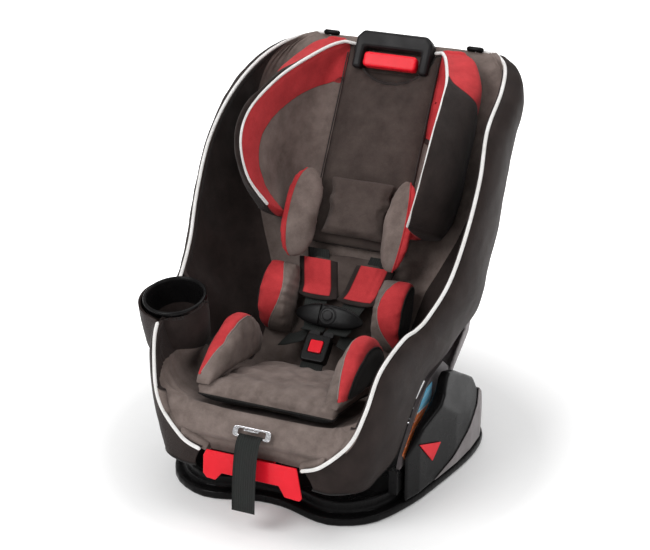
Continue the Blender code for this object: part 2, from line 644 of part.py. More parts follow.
CLIP_LOW, CLIP_HIGH = 0.0255, 0.0360
clip_left = prism("chest_clip_left", box_outline(-0.0135, 0.058, 0.067, 0.101, 0.007), back, CLIP_LOW, CLIP_HIGH,
                  BLACK)
clip_right = prism("chest_clip_right", box_outline(-0.058, -0.0143, 0.067, 0.101, 0.006), back, CLIP_LOW,
                   CLIP_HIGH, BLACK)
CLIP_POCKET = ((0, 0.01), (0.0098, 0.01), (0.0098, -0.0065), (0, -0.0065))
CLIP_BUTTON = ((0, 0.0022), (0.0070, 0.0020), (0.0090, 0.0008), (0.0092, -0.0030), (0, -0.0030))
back_turn = Matrix((Vector((1, 0, 0)), BACK_UP, BACK_OUT)).transposed()
clip_centre = back(0, 0.084, CLIP_HIGH)
cut(clip_left, turned("clip_pocket_helper", CLIP_POCKET, clip_centre, back_turn, BLACK, 24))
clip_button = turned("chest_clip_button", CLIP_BUTTON, clip_centre, back_turn, BLACK, 24)
clip_axis = empty("clip_button_axis", clip_centre)
hang(recline, bevelled(clip_left, 0.0016), bevelled(clip_right, 0.0016), clip_axis)
hang(clip_axis, clip_button)

# x, s and d of each strap, from the buckle's tongue
SHOULDER_ROUTE = ((0.0205, 0.0550, 0.0400), (0.0205, 0.0595, 0.0320), (0.0215, 0.0640, 0.0255),
                  (0.0235, 0.0700, 0.0237))
HIP_ROUTE = ((0.0275, 0.049, 0.036), (0.045, 0.043, 0.027), (0.063, 0.038, 0.014), (0.079, 0.036, 0.002))
HIP_WIDTH = 0.030
TONGUE = (0.0030, 0.0200)             # its span across, from the middle
for side_name, side in SIDES:
    low, high = sorted((TONGUE[0] * side, TONGUE[1] * side))
    plate = box_outline(low, high, BUCKLE_HALF_L + GAP, BUCKLE_HALF_L + 0.0085, 0.002)
    tongue = prism("tongue_" + side_name, plate, buckle, -0.0012, 0.0012, STEEL)
    route = [(back(x * side, s, d), BACK_OUT + BACK_UP) for x, s, d in SHOULDER_ROUTE]
    for k in range(11):
        s = 0.080 + 0.0113 * k
        slope = (strap_depth(s + 0.002) - strap_depth(s - 0.002)) / 0.004
        route.append((back((0.026 + 0.26 * (s - 0.08)) * side, s, strap_depth(s)), BACK_OUT - BACK_UP * slope))
    shoulder = ribbon("shoulder_strap_" + side_name, route, WEBBING_W, WEBBING_T, WEBBING)
    facing = BACK_OUT + BACK_UP * 0.8 + Vector((0.3 * side, 0, 0))
    hip_route = [(back(x * side, s, d), facing) for x, s, d in HIP_ROUTE]
    hip = ribbon("hip_strap_" + side_name, hip_route, HIP_WIDTH, WEBBING_T, WEBBING, None)
    hang(recline, tongue, shoulder, hip)

# Front adjuster: the strap comes out of a slot in a chrome bezel on the front lip
LIP_OUT = Vector((0.0, -0.874, 0.486)).normalized()
LIP_UP = Vector((0.0, 0.486, 0.874)).normalized()
BEZEL_AT = Vector((0.0, -0.2700, 0.1530))


def lip(a, b, c):
    """A point on the front lip: a across, b up it and c out of it."""
    return BEZEL_AT + Vector((a, 0.0, 0.0)) + LIP_UP * b + LIP_OUT * c


bezel = prism("adjuster_bezel", box_outline(-0.031, 0.031, -0.0078, 0.0082, 0.0055), lip, 0.0010, 0.0035, STEEL)
BEZEL_SLOT = box_outline(-0.0225, 0.0225, -0.0048, 0.0056, 0.002)
cut(bezel, prism("bezel_slot_helper", BEZEL_SLOT, lip, -0.02, 0.02, STEEL))
TAIL_ROUTE = ((-0.2722, 0.1522, 0.10), (-0.2790, 0.1510, 0.45), (-0.2870, 0.1455, 0.80), (-0.2935, 0.1330, 1.20),
              (-0.2990, 0.1130, 1.35), (-0.3035, 0.0850, 1.45), (-0.3060, 0.0550, 1.52), (-0.3070, 0.0380, 1.55))
tail = [(Vector((0.0, y, z)), Vector((0.0, -math.sin(turn), math.cos(turn)))) for y, z, turn in TAIL_ROUTE]
adjuster_strap = ribbon("adjuster_strap", tail, WEBBING_W, 0.0020, WEBBING)
LEVER = box_outline(-0.012, 0.012, 0.0022, 0.0045, 0.001)
adjuster_lever = prism("adjuster_lever", LEVER, lip, 0.0012, 0.0075, STEEL)
lever_axis = empty("adjuster_lever_axis", lip(0, 0.0034, 0.0012))
hang(recline, bezel, adjuster_strap, lever_axis)
hang(lever_axis, adjuster_lever)

# ---- Recline control ----
HANDLE_FACE_Y = -0.2800
HANDLE_LEAN = 0.09
HANDLE_OUTLINE = ((-0.074, 0.114), (-0.079, 0.104), (-0.079, 0.075), (-0.073, 0.068), (-0.058, 0.067),
                  (-0.048, 0.080), (0.046, 0.080), (0.056, 0.064), (0.080, 0.062), (0.084, 0.067), (0.074, 0.114))


def handle_place(a, b, c):
    return Vector((a, c + (b - 0.090) * HANDLE_LEAN, b))


handle = prism("recline_handle", HANDLE_OUTLINE, handle_place, HANDLE_FACE_Y, HANDLE_FACE_Y + 0.0035, RED_PLASTIC)
arm = prism("handle_arm_helper", box_outline(-0.016, 0.016, 0.083, 0.0875, 0.001), front_view,
            HANDLE_FACE_Y + 0.001, -0.105, RED_PLASTIC)
cut(handle, arm, "UNION")
bevelled(handle, 0.0012)
PIN_Y = -0.117
PIN_TOP = 0.0822
PIN_PROFILE = ((0, PIN_TOP), (0.006, PIN_TOP), (0.006, 0.062), (0.0045, 0.0595), (0, 0.0595))
lock_pin = turned("recline_lock_pin", PIN_PROFILE, Vector((0.0, PIN_Y, 0.0)), Matrix.Identity(3), STEEL, 20)
handle_axis = empty("recline_handle_axis", Vector((0.0, HANDLE_FACE_Y, 0.090)))
pin_axis = empty("lock_pin_axis", Vector((0.0, PIN_Y, PIN_TOP)))
hang(recline, handle_axis, pin_axis)
hang(handle_axis, handle)
hang(pin_axis, lock_pin)

# ---- Headrest ----
headrest = empty("headrest_axis", back(0, 0.380, -0.024))
hang(recline, headrest)
NECK_SCOOP = (0.556, 0.074)           # centre up the back, and radius


def headrest_outline(half, low, high, scoop_radius):
    """A panel with a round scoop out of its top edge."""
    out = [(-half, low), (half, low), (half, high)]
    reach = math.acos(min((NECK_SCOOP[0] - high) / scoop_radius, 1.0))
    for k in range(11):
        angle = reach * (1 - 2 * k / 10)
        out.append((scoop_radius * math.sin(angle), NECK_SCOOP[0] - scoop_radius * math.cos(angle)))
    out.append((-half, high))
    return out


frame = prism("headrest_frame", box_outline(-0.084, 0.084, 0.206, 0.548, 0.012), back, -0.0266, -0.0226, BLACK)
centre = prism("headrest_cushion", headrest_outline(0.078, 0.206, 0.534, NECK_SCOOP[1]), back, -0.0220, -0.0040,
               FOAM_TAUPE)
bevelled(centre, 0.005)
GRIP_OUTLINE = ((-0.066, 0.500), (-0.050, 0.500), (-0.050, 0.5365), (0.050, 0.5365), (0.050, 0.500), (0.066, 0.500),
                (0.066, 0.552), (0.056, 0.564), (-0.056, 0.564), (-0.066, 0.552))
grip = prism("headrest_handle", GRIP_OUTLINE, back, -0.0262, 0.0030, BLACK)
FRAME_NOTCH = box_outline(-0.070, 0.070, 0.490, 0.60, 0.004)
GRIP_SPACE = box_outline(-0.0675, 0.0675, 0.4985, 0.60, 0.004)
cut(frame, prism("frame_notch_helper", FRAME_NOTCH, back, -0.05, 0.05, BLACK))
cut(centre, prism("grip_space_helper", GRIP_SPACE, back, -0.06, 0.05, BLACK))
bevelled(grip, 0.004)
red_button = prism("headrest_button", box_outline(-0.046, 0.046, 0.503, 0.5275, 0.006), back, -0.0120, 0.0060,
                   RED_PLASTIC)
LOCK_BAR = box_outline(-0.040, 0.040, 0.4925, 0.4985, 0.002)
lock_bar = prism("headrest_lock_bar", LOCK_BAR, back, -0.0262, -0.0225, STEEL)
button_slide = empty("headrest_button_axis", back(0, 0.515, 0.0))
bar_slide = empty("lock_bar_axis", back(0, 0.4955, -0.030))
hang(headrest, frame, centre, grip, button_slide, bar_slide)
hang(button_slide, bevelled(red_button, 0.003))
hang(bar_slide, lock_bar)

# Wings: the ridge that carries the piping, and where the inner and outer faces meet the frame
WING_RINGS = (
    ((0.084, 0.541, -0.002), (0.0815, 0.534, -0.017), (0.104, 0.545, -0.016)),
    ((0.101, 0.523, 0.022), (0.0815, 0.505, -0.017), (0.128, 0.533, -0.012)),
    ((0.126, 0.478, 0.069), (0.0815, 0.458, -0.017), (0.150, 0.495, -0.006)),
    ((0.141, 0.433, 0.115), (0.0815, 0.415, -0.017), (0.158, 0.450, -0.004)),
    ((0.153, 0.371, 0.161), (0.0815, 0.355, -0.017), (0.160, 0.380, -0.003)),
    ((0.153, 0.318, 0.168), (0.0815, 0.305, -0.017), (0.160, 0.320, -0.003)),
    ((0.140, 0.268, 0.140), (0.0815, 0.262, -0.017), (0.156, 0.270, -0.004)),
    ((0.119, 0.238, 0.090), (0.0815, 0.236, -0.017), (0.140, 0.240, -0.008)),
)


def wing_ring(ridge, inside, outside, side):
    """One section of a wing: up the hollow inner face, over the ridge and down the outer face."""
    ridge, inside, outside = Vector(ridge), Vector(inside), Vector(outside)
    reach, rise = abs(ridge.x - inside.x), ridge.z - inside.z
    hollow = inside.lerp(ridge, 0.45) + Vector((0.30 * reach, 0.0, -0.20 * rise))
    low_hollow = inside.lerp(ridge, 0.15) + Vector((0.34 * reach, 0.0, -0.08 * rise))
    over = ridge + Vector((0.009, 0.0, -0.004))
    swell = outside.lerp(ridge, 0.50) + Vector((0.020, 0.0, 0.0))
    low_swell = outside.lerp(ridge, 0.18) + Vector((0.012, 0.0, 0.0))
    ring = (inside, low_hollow, hollow, ridge, over, swell, low_swell, outside)
    return [back(p.x * side, p.y, p.z) for p in ring]


for side_name, side in SIDES:
    wing = loft("headrest_wing_" + side_name, [wing_ring(*row, side) for row in WING_RINGS], RED_CLOTH)
    hang(headrest, wing)

def pillow_half(j):
    return 0.056 - 0.010 * abs(j - 0.6)


pillow = skin("head_pillow", cushion_face(back, pillow_half, 0.207, 0.326, 0.006, 0.010),
              cushion_face(back, pillow_half, 0.207, 0.326, -0.0032, 0.0), 8, 8, FOAM_TAUPE)
hang(headrest, pillow)
LOBE_CENTRE, LOBE_HALF = Vector((0.0855, 0.243, 0.0305)), Vector((0.0275, 0.076, 0.0165))
LOBE_LEAN = math.radians(27)


def lobe_ring(side, b):
    """A section across a lobe of the head pillow, which leans inwards; b is -1 to 1 up the lobe."""
    size = (1.0 - abs(b) ** 2.6) ** 0.5
    ring = []
    for k in range(14):
        angle = 2 * math.pi * k / 14
        across, depth = LOBE_HALF.x * size * math.cos(angle), LOBE_HALF.z * size * math.sin(angle)
        ring.append(back((LOBE_CENTRE.x + across * math.cos(LOBE_LEAN) - depth * math.sin(LOBE_LEAN)) * side,
                         LOBE_CENTRE.y + LOBE_HALF.y * b,
                         LOBE_CENTRE.z + across * math.sin(LOBE_LEAN) + depth * math.cos(LOBE_LEAN)))
    return ring


def pad_face(side, proud):
    """A face of a harness pad, which lies along the shoulder strap."""
    def face(i, j):
        s = 0.108 + 0.068 * j
        slope = (strap_depth(s + 0.002) - strap_depth(s - 0.002)) / 0.004
        middle = 0.034 + 0.016 * j
        return back((middle + (i * 2 - 1) * 0.026) * side, s - slope * proud * 0.5, strap_depth(s) + proud)
    return face


LOBE_STEPS = [math.sin(math.pi / 2 * (k / 6 - 1) * 0.95) for k in range(13)]
for side_name, side in SIDES:
    lobe = loft("pillow_lobe_" + side_name, [lobe_ring(side, b) for b in LOBE_STEPS], FOAM_TAUPE)
    pad = skin("harness_pad_" + side_name, pad_face(side, 0.0120), pad_face(side, 0.0020), 4, 8, RED_CLOTH)
    hang(headrest, lobe, pad)
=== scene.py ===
"""The looks of the convertible car seat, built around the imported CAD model.

Metres, +Z up, -Y the way the child faces, +X the child's left. Padded pieces are swollen by cloth
simulation. Panels change colour by seam distances that are kept as attributes on the meshes.
"""

import json
import math

import bpy
import numpy as np
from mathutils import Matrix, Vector, noise


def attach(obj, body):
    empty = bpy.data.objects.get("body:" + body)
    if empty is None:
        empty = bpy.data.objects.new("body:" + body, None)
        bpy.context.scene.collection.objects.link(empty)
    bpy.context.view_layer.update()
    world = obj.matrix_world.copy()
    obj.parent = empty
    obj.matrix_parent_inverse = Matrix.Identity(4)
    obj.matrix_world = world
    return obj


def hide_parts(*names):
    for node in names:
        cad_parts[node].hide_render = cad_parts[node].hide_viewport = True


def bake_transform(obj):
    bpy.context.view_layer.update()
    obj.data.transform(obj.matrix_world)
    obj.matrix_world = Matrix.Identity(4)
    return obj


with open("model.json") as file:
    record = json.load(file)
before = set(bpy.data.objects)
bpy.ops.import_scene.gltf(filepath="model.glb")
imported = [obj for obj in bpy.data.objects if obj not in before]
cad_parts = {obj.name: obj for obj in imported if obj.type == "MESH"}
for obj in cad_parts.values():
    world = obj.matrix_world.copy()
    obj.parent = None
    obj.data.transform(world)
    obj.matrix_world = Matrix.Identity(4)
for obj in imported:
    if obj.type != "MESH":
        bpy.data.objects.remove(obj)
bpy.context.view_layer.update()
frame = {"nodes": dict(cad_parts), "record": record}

NODES = frame["nodes"]
SIDES = (("left", 1.0), ("right", -1.0))

# ---- The seat's own directions and stations, as in the CAD ----
BACK_ANGLE, PAN_ANGLE = math.radians(32.0), math.radians(14.7)
BIGHT = np.array((0.0, -0.0036, 0.134))
ACROSS = np.array((1.0, 0.0, 0.0))
BACK_UP = np.array((0.0, math.sin(BACK_ANGLE), math.cos(BACK_ANGLE)))
BACK_OUT = np.array((0.0, -math.cos(BACK_ANGLE), math.sin(BACK_ANGLE)))
PAN_FORE = np.array((0.0, -math.cos(PAN_ANGLE), math.sin(PAN_ANGLE)))
PAN_UP = np.array((0.0, math.sin(PAN_ANGLE), math.cos(PAN_ANGLE)))
BACK_AXES = np.array((ACROSS, BACK_UP, BACK_OUT))
PAN_AXES = np.array((ACROSS, PAN_FORE, PAN_UP))
LINER_DEPTH = -0.028
CORNER_POWER = 5.0
CUP_CENTRE = np.array((-0.187, -0.150, 0.291))
CUP_TILT = math.radians(12.0)
CUP_AXES = np.array((ACROSS, (0.0, math.cos(CUP_TILT), math.sin(CUP_TILT)),
                     (0.0, -math.sin(CUP_TILT), math.cos(CUP_TILT))))


def back(x, s, d):
    """x across, s up along the back, d in front of its plane; numbers or arrays."""
    return BIGHT + np.stack(np.broadcast_arrays(x, s, d), -1) @ BACK_AXES


def pan(x, q, h):
    """x across, q forward along the seat pan, h above it."""
    return BIGHT + np.stack(np.broadcast_arrays(x, q, h), -1) @ PAN_AXES


def in_frame(points, origin, axes):
    """World points as coordinates along the axes."""
    return (points - origin) @ np.transpose(axes)


# Rim, liner's middle, cover's hem, how far the cover bulges past the rim, and half the width of
# the liner's floor
STATIONS = np.array([[*rim, *middle, *hem, bulge, floor] for rim, middle, hem, bulge, floor in (
    ((0.157, 0.338, 0.584), back(0, 0.560, -0.034), back(0.130, 0.545, -0.062), 0.020, 0.152),
    ((0.190, 0.285, 0.580), back(0, 0.531, LINER_DEPTH), back(0.155, 0.515, -0.062), 0.024, 0.178),
    ((0.210, 0.207, 0.563), back(0, 0.475, LINER_DEPTH), back(0.170, 0.470, -0.064), 0.026, 0.192),
    ((0.218, 0.118, 0.529), back(0, 0.399, LINER_DEPTH), back(0.178, 0.399, -0.064), 0.024, 0.198),
    ((0.228, 0.060, 0.470), back(0, 0.320, LINER_DEPTH), back(0.184, 0.320, -0.064), 0.017, 0.198),
    ((0.226, 0.010, 0.400), back(0, 0.235, LINER_DEPTH), back(0.190, 0.240, -0.064), 0.019, 0.192),
    ((0.217, -0.035, 0.338), back(0, 0.155, LINER_DEPTH), back(0.198, 0.150, -0.056), 0.022, 0.176),
    ((0.205, -0.090, 0.303), back(0, 0.075, LINER_DEPTH), (0.199, 0.055, 0.205), 0.022, 0.164),
    ((0.198, -0.122, 0.294), (0.0, 0.008, 0.112), (0.199, 0.000, 0.200), 0.022, 0.160),
    ((0.190, -0.157, 0.291), pan(0, 0.060, -0.030), (0.190, -0.085, 0.180), 0.021, 0.158),
    ((0.181, -0.222, 0.268), pan(0, 0.200, -0.030), (0.184, -0.160, 0.105), 0.016, 0.157),
    ((0.170, -0.249, 0.215), pan(0, 0.243, -0.025), (0.173, -0.210, 0.080), 0.012, 0.156),
    ((0.150, -0.263, 0.167), (0.0, -0.268, 0.150), (0.157, -0.248, 0.076), 0.008, 0.145),
    ((0.110, -0.274, 0.127), (0.0, -0.2735, 0.124), (0.126, -0.266, 0.076), 0.010, 0.110),
    ((0.080, -0.276, 0.114), (0.0, -0.2735, 0.108), (0.097, -0.270, 0.078), 0.009, 0.080))])
LAST = len(STATIONS) - 1
COVER_GAP = 0.003                     # from the rim to where the cover starts


def spline(rows, t):
    """Catmull-Rom through evenly spaced rows, at the places t."""
    rows, t = np.asarray(rows, float), np.atleast_1d(np.asarray(t, float))
    i = np.clip(t.astype(int), 0, len(rows) - 2)
    f = (t - i)[:, None]
    a, b, c, d = (rows[np.clip(i + k, 0, len(rows) - 1)] for k in (-1, 0, 1, 2))
    return (b * 2 + (c - a) * f + (a * 2 - b * 5 + c * 4 - d) * f ** 2
            + (b * 3 - a - c * 3 + d) * f ** 3) / 2


def smoothstep(low, high, x):
    """0 up to low, 1 from high on and smooth between; low may be the larger."""
    t = np.clip((np.asarray(x, float) - low) / (high - low), 0, 1)
    return t * t * (3 - 2 * t)


def liner_face(u, v):
    """The padded liner's face: v is 0 on the mid-plane and 1 at the rims, by length along it."""
    row = spline(STATIONS, u)
    rim, middle, floor = row[:, None, 0:3], row[:, None, 3:6], row[:, None, 10]
    turn = np.linspace(0, math.pi / 2, 4001)
    wide, high = (np.sin(turn) ** (2 / CORNER_POWER),
                  np.maximum(np.cos(turn), 0) ** (2 / CORNER_POWER))
    high[-1] = 0.0
    run = np.concatenate([[0], np.cumsum(np.hypot(np.diff(wide), np.diff(high)))])
    rise = 1 - np.interp(np.abs(v), run / run[-1], high)[None, :]
    across = np.interp(np.abs(v), run / run[-1], wide)[None,
                                                       :] * (floor + (rim[..., 0] - floor) * rise)
    points = middle + (rim - middle) * rise[..., None]
    points[..., 0] = across * np.sign(v)[None, :]
    return points


def cover_face(u, w):
    """The left outer cover: w runs from 0 at the rim to 1 at the hem."""
    row = spline(STATIONS, u)[:, None]
    rim, hem, bulge = row[..., 0:3], row[..., 6:9], row[..., 9]
    w = np.asarray(w)[None, :, None]
    start = rim + ACROSS * COVER_GAP
    straight = smoothstep(11.0, 13.0, np.asarray(u))[:, None]
    widest = np.maximum(rim[..., 0], hem[..., 0]) + bulge * (1 - straight)
    handle = (widest - (start[..., 0] + hem[..., 0]) / 8) / 0.75
    first, second = start + (hem - rim) * 0.05, hem + (rim - hem) * 0.20
    first[..., 0] = handle * (1 - straight) + (start[..., 0] + 0.003) * straight
    second[..., 0] = handle * (1 - straight) + (hem[..., 0] + 0.003) * straight
    return (start * (1 - w) ** 3 + first * 3 * w * (1 - w) ** 2
            + second * 3 * w * w * (1 - w) + hem * w ** 3)


# ---- Shaders ----
class Shader:
    """A material's nodes: add() makes one, and links or sets its inputs."""

    def __init__(self, name, roughness, metallic=0.0, sheen=0.0, coat=0.0, specular=0.5):
        self.material = bpy.data.materials.new(name)
        self.material.use_nodes = True
        self.tree = self.material.node_tree
        self.surface = self.tree.nodes["Principled BSDF"]
        for socket, value in (("Roughness", roughness), ("Metallic", metallic),
                              ("Sheen Weight", sheen),
                              ("Coat Weight", coat), ("Specular IOR Level", specular)):
            self.surface.inputs[socket].default_value = value
        self.place = self.add("ShaderNodeTexCoord").outputs["Object"]

    def add(self, kind, inputs=None, **settings):
        node = self.tree.nodes.new(kind)
        for key, value in settings.items():
            setattr(node, key, value)
        for key, value in (inputs or {}).items():
            if isinstance(value, bpy.types.NodeSocket):
                self.tree.links.new(value, node.inputs[key])
            else:
                node.inputs[key].default_value = value
        return node

    def noise(self, scale, detail=3.0, place=None, rough=0.55):
        inputs = {"Vector": place or self.place, "Scale": scale, "Detail": detail,
                  "Roughness": rough}
        return self.add("ShaderNodeTexNoise", inputs).outputs["Fac"]

    def wave(self, scale, axis, place=None, distortion=0.0):
        inputs = {"Vector": place or self.place, "Scale": scale, "Distortion": distortion}
        return self.add("ShaderNodeTexWave", inputs, bands_direction=axis).outputs["Fac"]

    def spread(self, value, low, high, to_low=0.0, to_high=1.0):
        inputs = {"Value": value, "From Min": low, "From Max": high, "To Min": to_low,
                  "To Max": to_high}
        return self.add("ShaderNodeMapRange", inputs).outputs["Result"]

    def mix(self, factor, first, second, blend="MIX"):
        node = self.add("ShaderNodeMix", data_type="RGBA", blend_type=blend)
        for index, value in ((0, factor), (6, first), (7, second)):
            if isinstance(value, bpy.types.NodeSocket):
                self.tree.links.new(value, node.inputs[index])
            else:
                node.inputs[index].default_value = value if index == 0 else (*value, 1.0)
        return node.outputs[2]

    def sum(self, first, second, operation="ADD"):
        return self.add("ShaderNodeMath", {0: first, 1: second}, operation=operation).outputs[0]

    def darkened(self, colour, value):
        """The colour times a grey value."""
        grey = self.add("ShaderNodeCombineColor", {"Red": value, "Green": value, "Blue": value})
        return self.mix(1.0, colour, grey.outputs[0], "MULTIPLY")

    def attribute(self, name):
        return self.add("ShaderNodeAttribute", attribute_name=name).outputs["Fac"]

    def finish(self, colour, height=None, distance=0.0005, strength=0.6, roughness=None):
        self.tree.links.new(colour, self.surface.inputs["Base Color"])
        if roughness:
            self.tree.links.new(roughness, self.surface.inputs["Roughness"])
        if height:
            bump = self.add("ShaderNodeBump",
                            {"Height": height, "Distance": distance, "Strength": strength})
            self.tree.links.new(bump.outputs["Normal"], self.surface.inputs["Normal"])
        return self.material


TAUPE = ((0.105, 0.080, 0.070), (0.200, 0.158, 0.142))
SATIN = ((0.014, 0.009, 0.008), (0.028, 0.019, 0.017))
RED = ((0.380, 0.025, 0.029), (0.530, 0.042, 0.047))
HEAD_DARK = ((0.036, 0.026, 0.023), (0.066, 0.050, 0.044))
PILLOW_TONES = ((0.044, 0.032, 0.028), (0.080, 0.061, 0.054))
EDGE_BLACK = ((0.008, 0.007, 0.007), (0.016, 0.014, 0.013))


def tone(shader, tones, scale):
    """Two shades of one cloth, mottled like brushed nap."""
    cloudy = shader.spread(shader.noise(scale, 4.0, rough=0.65), 0.30, 0.70)
    return shader.mix(cloudy, *tones)


def cloth(name, base, panels=(), roughness=0.85, sheen=0.05, nap=True, specular=0.2):
    """A cloth; panels are (attribute, tones), and each shows where its attribute is above 0;
    painted shade darkens the colour along each seam.
    """
    shader = Shader(name, roughness, sheen=sheen, specular=specular)
    shader.surface.inputs["Sheen Roughness"].default_value = 0.45
    colour = tone(shader, base, 26.0)
    groove = None
    for attribute, tones in panels:
        distance = shader.attribute(attribute)
        colour = shader.mix(shader.spread(distance, -0.0004, 0.0004), colour,
                            tone(shader, tones, 30.0))
        # painted shade: the colour goes down to 0.45 of itself within 1.6 mm of each seam line
        seam_shade = shader.spread(shader.sum(distance, 0.0, "ABSOLUTE"), 0.0, 0.0016)
        groove = shader.sum(groove, seam_shade, "MULTIPLY") if groove else seam_shade
    speckle = shader.spread(shader.noise(900.0, 2.0), 0.25, 0.75, 0.86, 1.10)
    colour = shader.darkened(colour, speckle)
    # the painted seam shade darkens the colour here
    if groove:
        colour = shader.darkened(colour, shader.spread(groove, 0.0, 1.0, 0.45, 1.0))
    if nap:
        fine = shader.noise(1500.0, 3.0)
    else:
        fine = shader.sum(shader.wave(520.0, "DIAGONAL"), shader.wave(460.0, "Z"), "MULTIPLY")
    height = shader.sum(fine, shader.sum(shader.noise(160.0, 3.0), 1.2, "MULTIPLY"))
    return shader.finish(colour, height, 0.0007, 0.5)


def moulded(name, dark, light, roughness, grain=900.0, coat=0.0, depth=0.00025):
    """Injection-moulded plastic: fine grain, and slightly uneven gloss where hands rub it."""
    shader = Shader(name, roughness, coat=coat, specular=0.1)
    colour = shader.mix(shader.spread(shader.noise(35.0, 4.0), 0.3, 0.7), dark, light)
    rub = shader.spread(shader.noise(22.0, 5.0), 0.3, 0.7, max(roughness - 0.08, 0.05), roughness
                        + 0.10)
    return shader.finish(colour, shader.noise(grain, 2.0), depth, 0.35, rub)


def polished_steel():
    shader = Shader("polished_steel", 0.2, metallic=1.0)
    colour = shader.mix(shader.noise(60.0), (0.62, 0.62, 0.64), (0.80, 0.80, 0.82))
    rub = shader.spread(shader.noise(300.0, 4.0), 0.3, 0.7, 0.12, 0.30)
    return shader.finish(colour, shader.wave(700.0, "X", distortion=2.0), 0.00005, 0.3, rub)


def webbing_cloth():
    """Harness webbing: ribs along the strap and a fine weft across it, by the strap's UV map."""
    shader = Shader("harness_webbing", 0.7, sheen=0.02, specular=0.25)
    uv = shader.add("ShaderNodeUVMap", uv_map="UVMap").outputs["UV"]
    ribs, weft = shader.wave(3.2, "X", uv), shader.wave(160.0, "Y", uv)
    colour = shader.mix(ribs, (0.006, 0.008, 0.007), (0.013, 0.016, 0.014))
    colour = shader.mix(shader.spread(shader.noise(40.0), 0.3, 0.7), colour, (0.010, 0.010, 0.0095))
    return shader.finish(colour, shader.sum(ribs, shader.sum(weft, 0.5, "MULTIPLY")), 0.0006, 0.7)


def level_strip():
    """The level label: blue above, orange below, with a pale edge between and small pale ticks."""
    shader = Shader("level_strip", 0.4, coat=0.2)
    parts = shader.add("ShaderNodeSeparateXYZ", {"Vector": shader.place})
    along = shader.sum(parts.outputs["Z"], shader.sum(parts.outputs["Y"], 0.12, "MULTIPLY"))
    colour = shader.mix(shader.spread(along, 0.1235, 0.1245), (0.95, 0.24, 0.07),
                        (0.85, 0.80, 0.74))
    colour = shader.mix(shader.spread(along, 0.1255, 0.1265), colour, (0.18, 0.58, 0.85))
    ticks = shader.spread(shader.wave(26.0, "Z"), 0.965, 0.985)
    colour = shader.mix(shader.sum(ticks, 0.55, "MULTIPLY"), colour, (0.88, 0.80, 0.74))
    return shader.finish(colour, shader.noise(600.0), 0.0001, 0.2)


LINER_CLOTH = cloth("liner_suede", TAUPE, [("wall", SATIN)])
COVER_CLOTH = cloth("cover_satin", SATIN, roughness=0.55, sheen=0.0, nap=False, specular=0.12)
CUSHION_CLOTH = cloth("cushion_suede", TAUPE, [("gusset", EDGE_BLACK)])
HEAD_CLOTH = cloth("headrest_suede", HEAD_DARK)
PILLOW_CLOTH = cloth("pillow_suede", PILLOW_TONES)
BOLSTER_CLOTH = cloth("bolster_panels", TAUPE, [("crown", RED), ("outside", EDGE_BLACK)])
WING_CLOTH = cloth("wing_panels", TAUPE, [("band", RED), ("flank", SATIN), ("crest", RED)])
LOBE_CLOTH = cloth("lobe_panels", TAUPE, [("flank", RED)])
PAD_CLOTH = cloth("harness_pad_cloth", RED, [("binding", SATIN)])
PIPING_WHITE = cloth("white_piping", ((0.70, 0.68, 0.66), (0.82, 0.81, 0.80)), roughness=0.6,
                     nap=False)
PIPING_RED = cloth("red_piping", RED, nap=False)
PIPING_BLACK = cloth("black_piping", EDGE_BLACK, roughness=0.6, nap=False)
PIPING_TAUPE = cloth("taupe_piping", ((0.20, 0.17, 0.155), (0.27, 0.23, 0.21)), nap=False)
THREAD_DARK = cloth("dark_thread", ((0.020, 0.016, 0.015), (0.040, 0.032, 0.030)), roughness=0.5,
                    nap=False)
WEBBING = webbing_cloth()
BLACK_PLASTIC = moulded("black_plastic", (0.0040, 0.0038, 0.0040), (0.0075, 0.0070, 0.0072), 0.28)
GRIP_PLASTIC = moulded("grip_plastic", (0.010, 0.0095, 0.010), (0.017, 0.016, 0.0165), 0.36)
GREY_PLASTIC = moulded("grey_plastic", (0.200, 0.180, 0.182), (0.260, 0.238, 0.240), 0.40)
SHELL_PLASTIC = moulded("shell_plastic", (0.115, 0.100, 0.103), (0.150, 0.132, 0.135), 0.45)
RED_PLASTIC = moulded("red_plastic", (0.66, 0.008, 0.018), (0.74, 0.012, 0.026), 0.30, coat=0.1,
                      depth=0.0001)
ARROW_RED = moulded("arrow_red", (0.62, 0.012, 0.022), (0.72, 0.022, 0.034), 0.35, depth=0.0001)
STEEL = polished_steel()
LABEL = level_strip()
SLOT_FINISH = {"black_plastic": BLACK_PLASTIC, "grey_plastic": GREY_PLASTIC,
               "shell_plastic": SHELL_PLASTIC,
               "taupe_suede": PILLOW_CLOTH, "dark_satin": COVER_CLOTH, "red_fabric": PAD_CLOTH,
               "red_plastic": RED_PLASTIC, "webbing": WEBBING, "chrome": STEEL, "label": LABEL,
               "arrow_red": ARROW_RED}


# ---- Making pieces ----
def surface(name, points, finish, wrap=False):
    """A mesh over a grid of points, (rows, columns, 3); wrap joins the last column to the first."""
    rows, columns = points.shape[:2]
    index = np.arange(rows * columns).reshape(rows, columns)
    if wrap:
        index = np.concatenate([index, index[:, :1]], 1)
    quads = np.stack([index[:-1, :-1], index[1:, :-1], index[1:, 1:], index[:-1, 1:]],
                     -1).reshape(-1, 4)
    mesh = bpy.data.meshes.new(name)
    mesh.from_pydata(points.reshape(-1, 3).tolist(), [], quads.tolist())
    return linked(name, mesh, finish)


def linked(name, mesh, finish):
    """A smooth-shaded object of the mesh, in the scene."""
    mesh.materials.append(finish)
    mesh.shade_smooth()
    made = bpy.data.objects.new(name, mesh)
    bpy.context.scene.collection.objects.link(made)
    return made


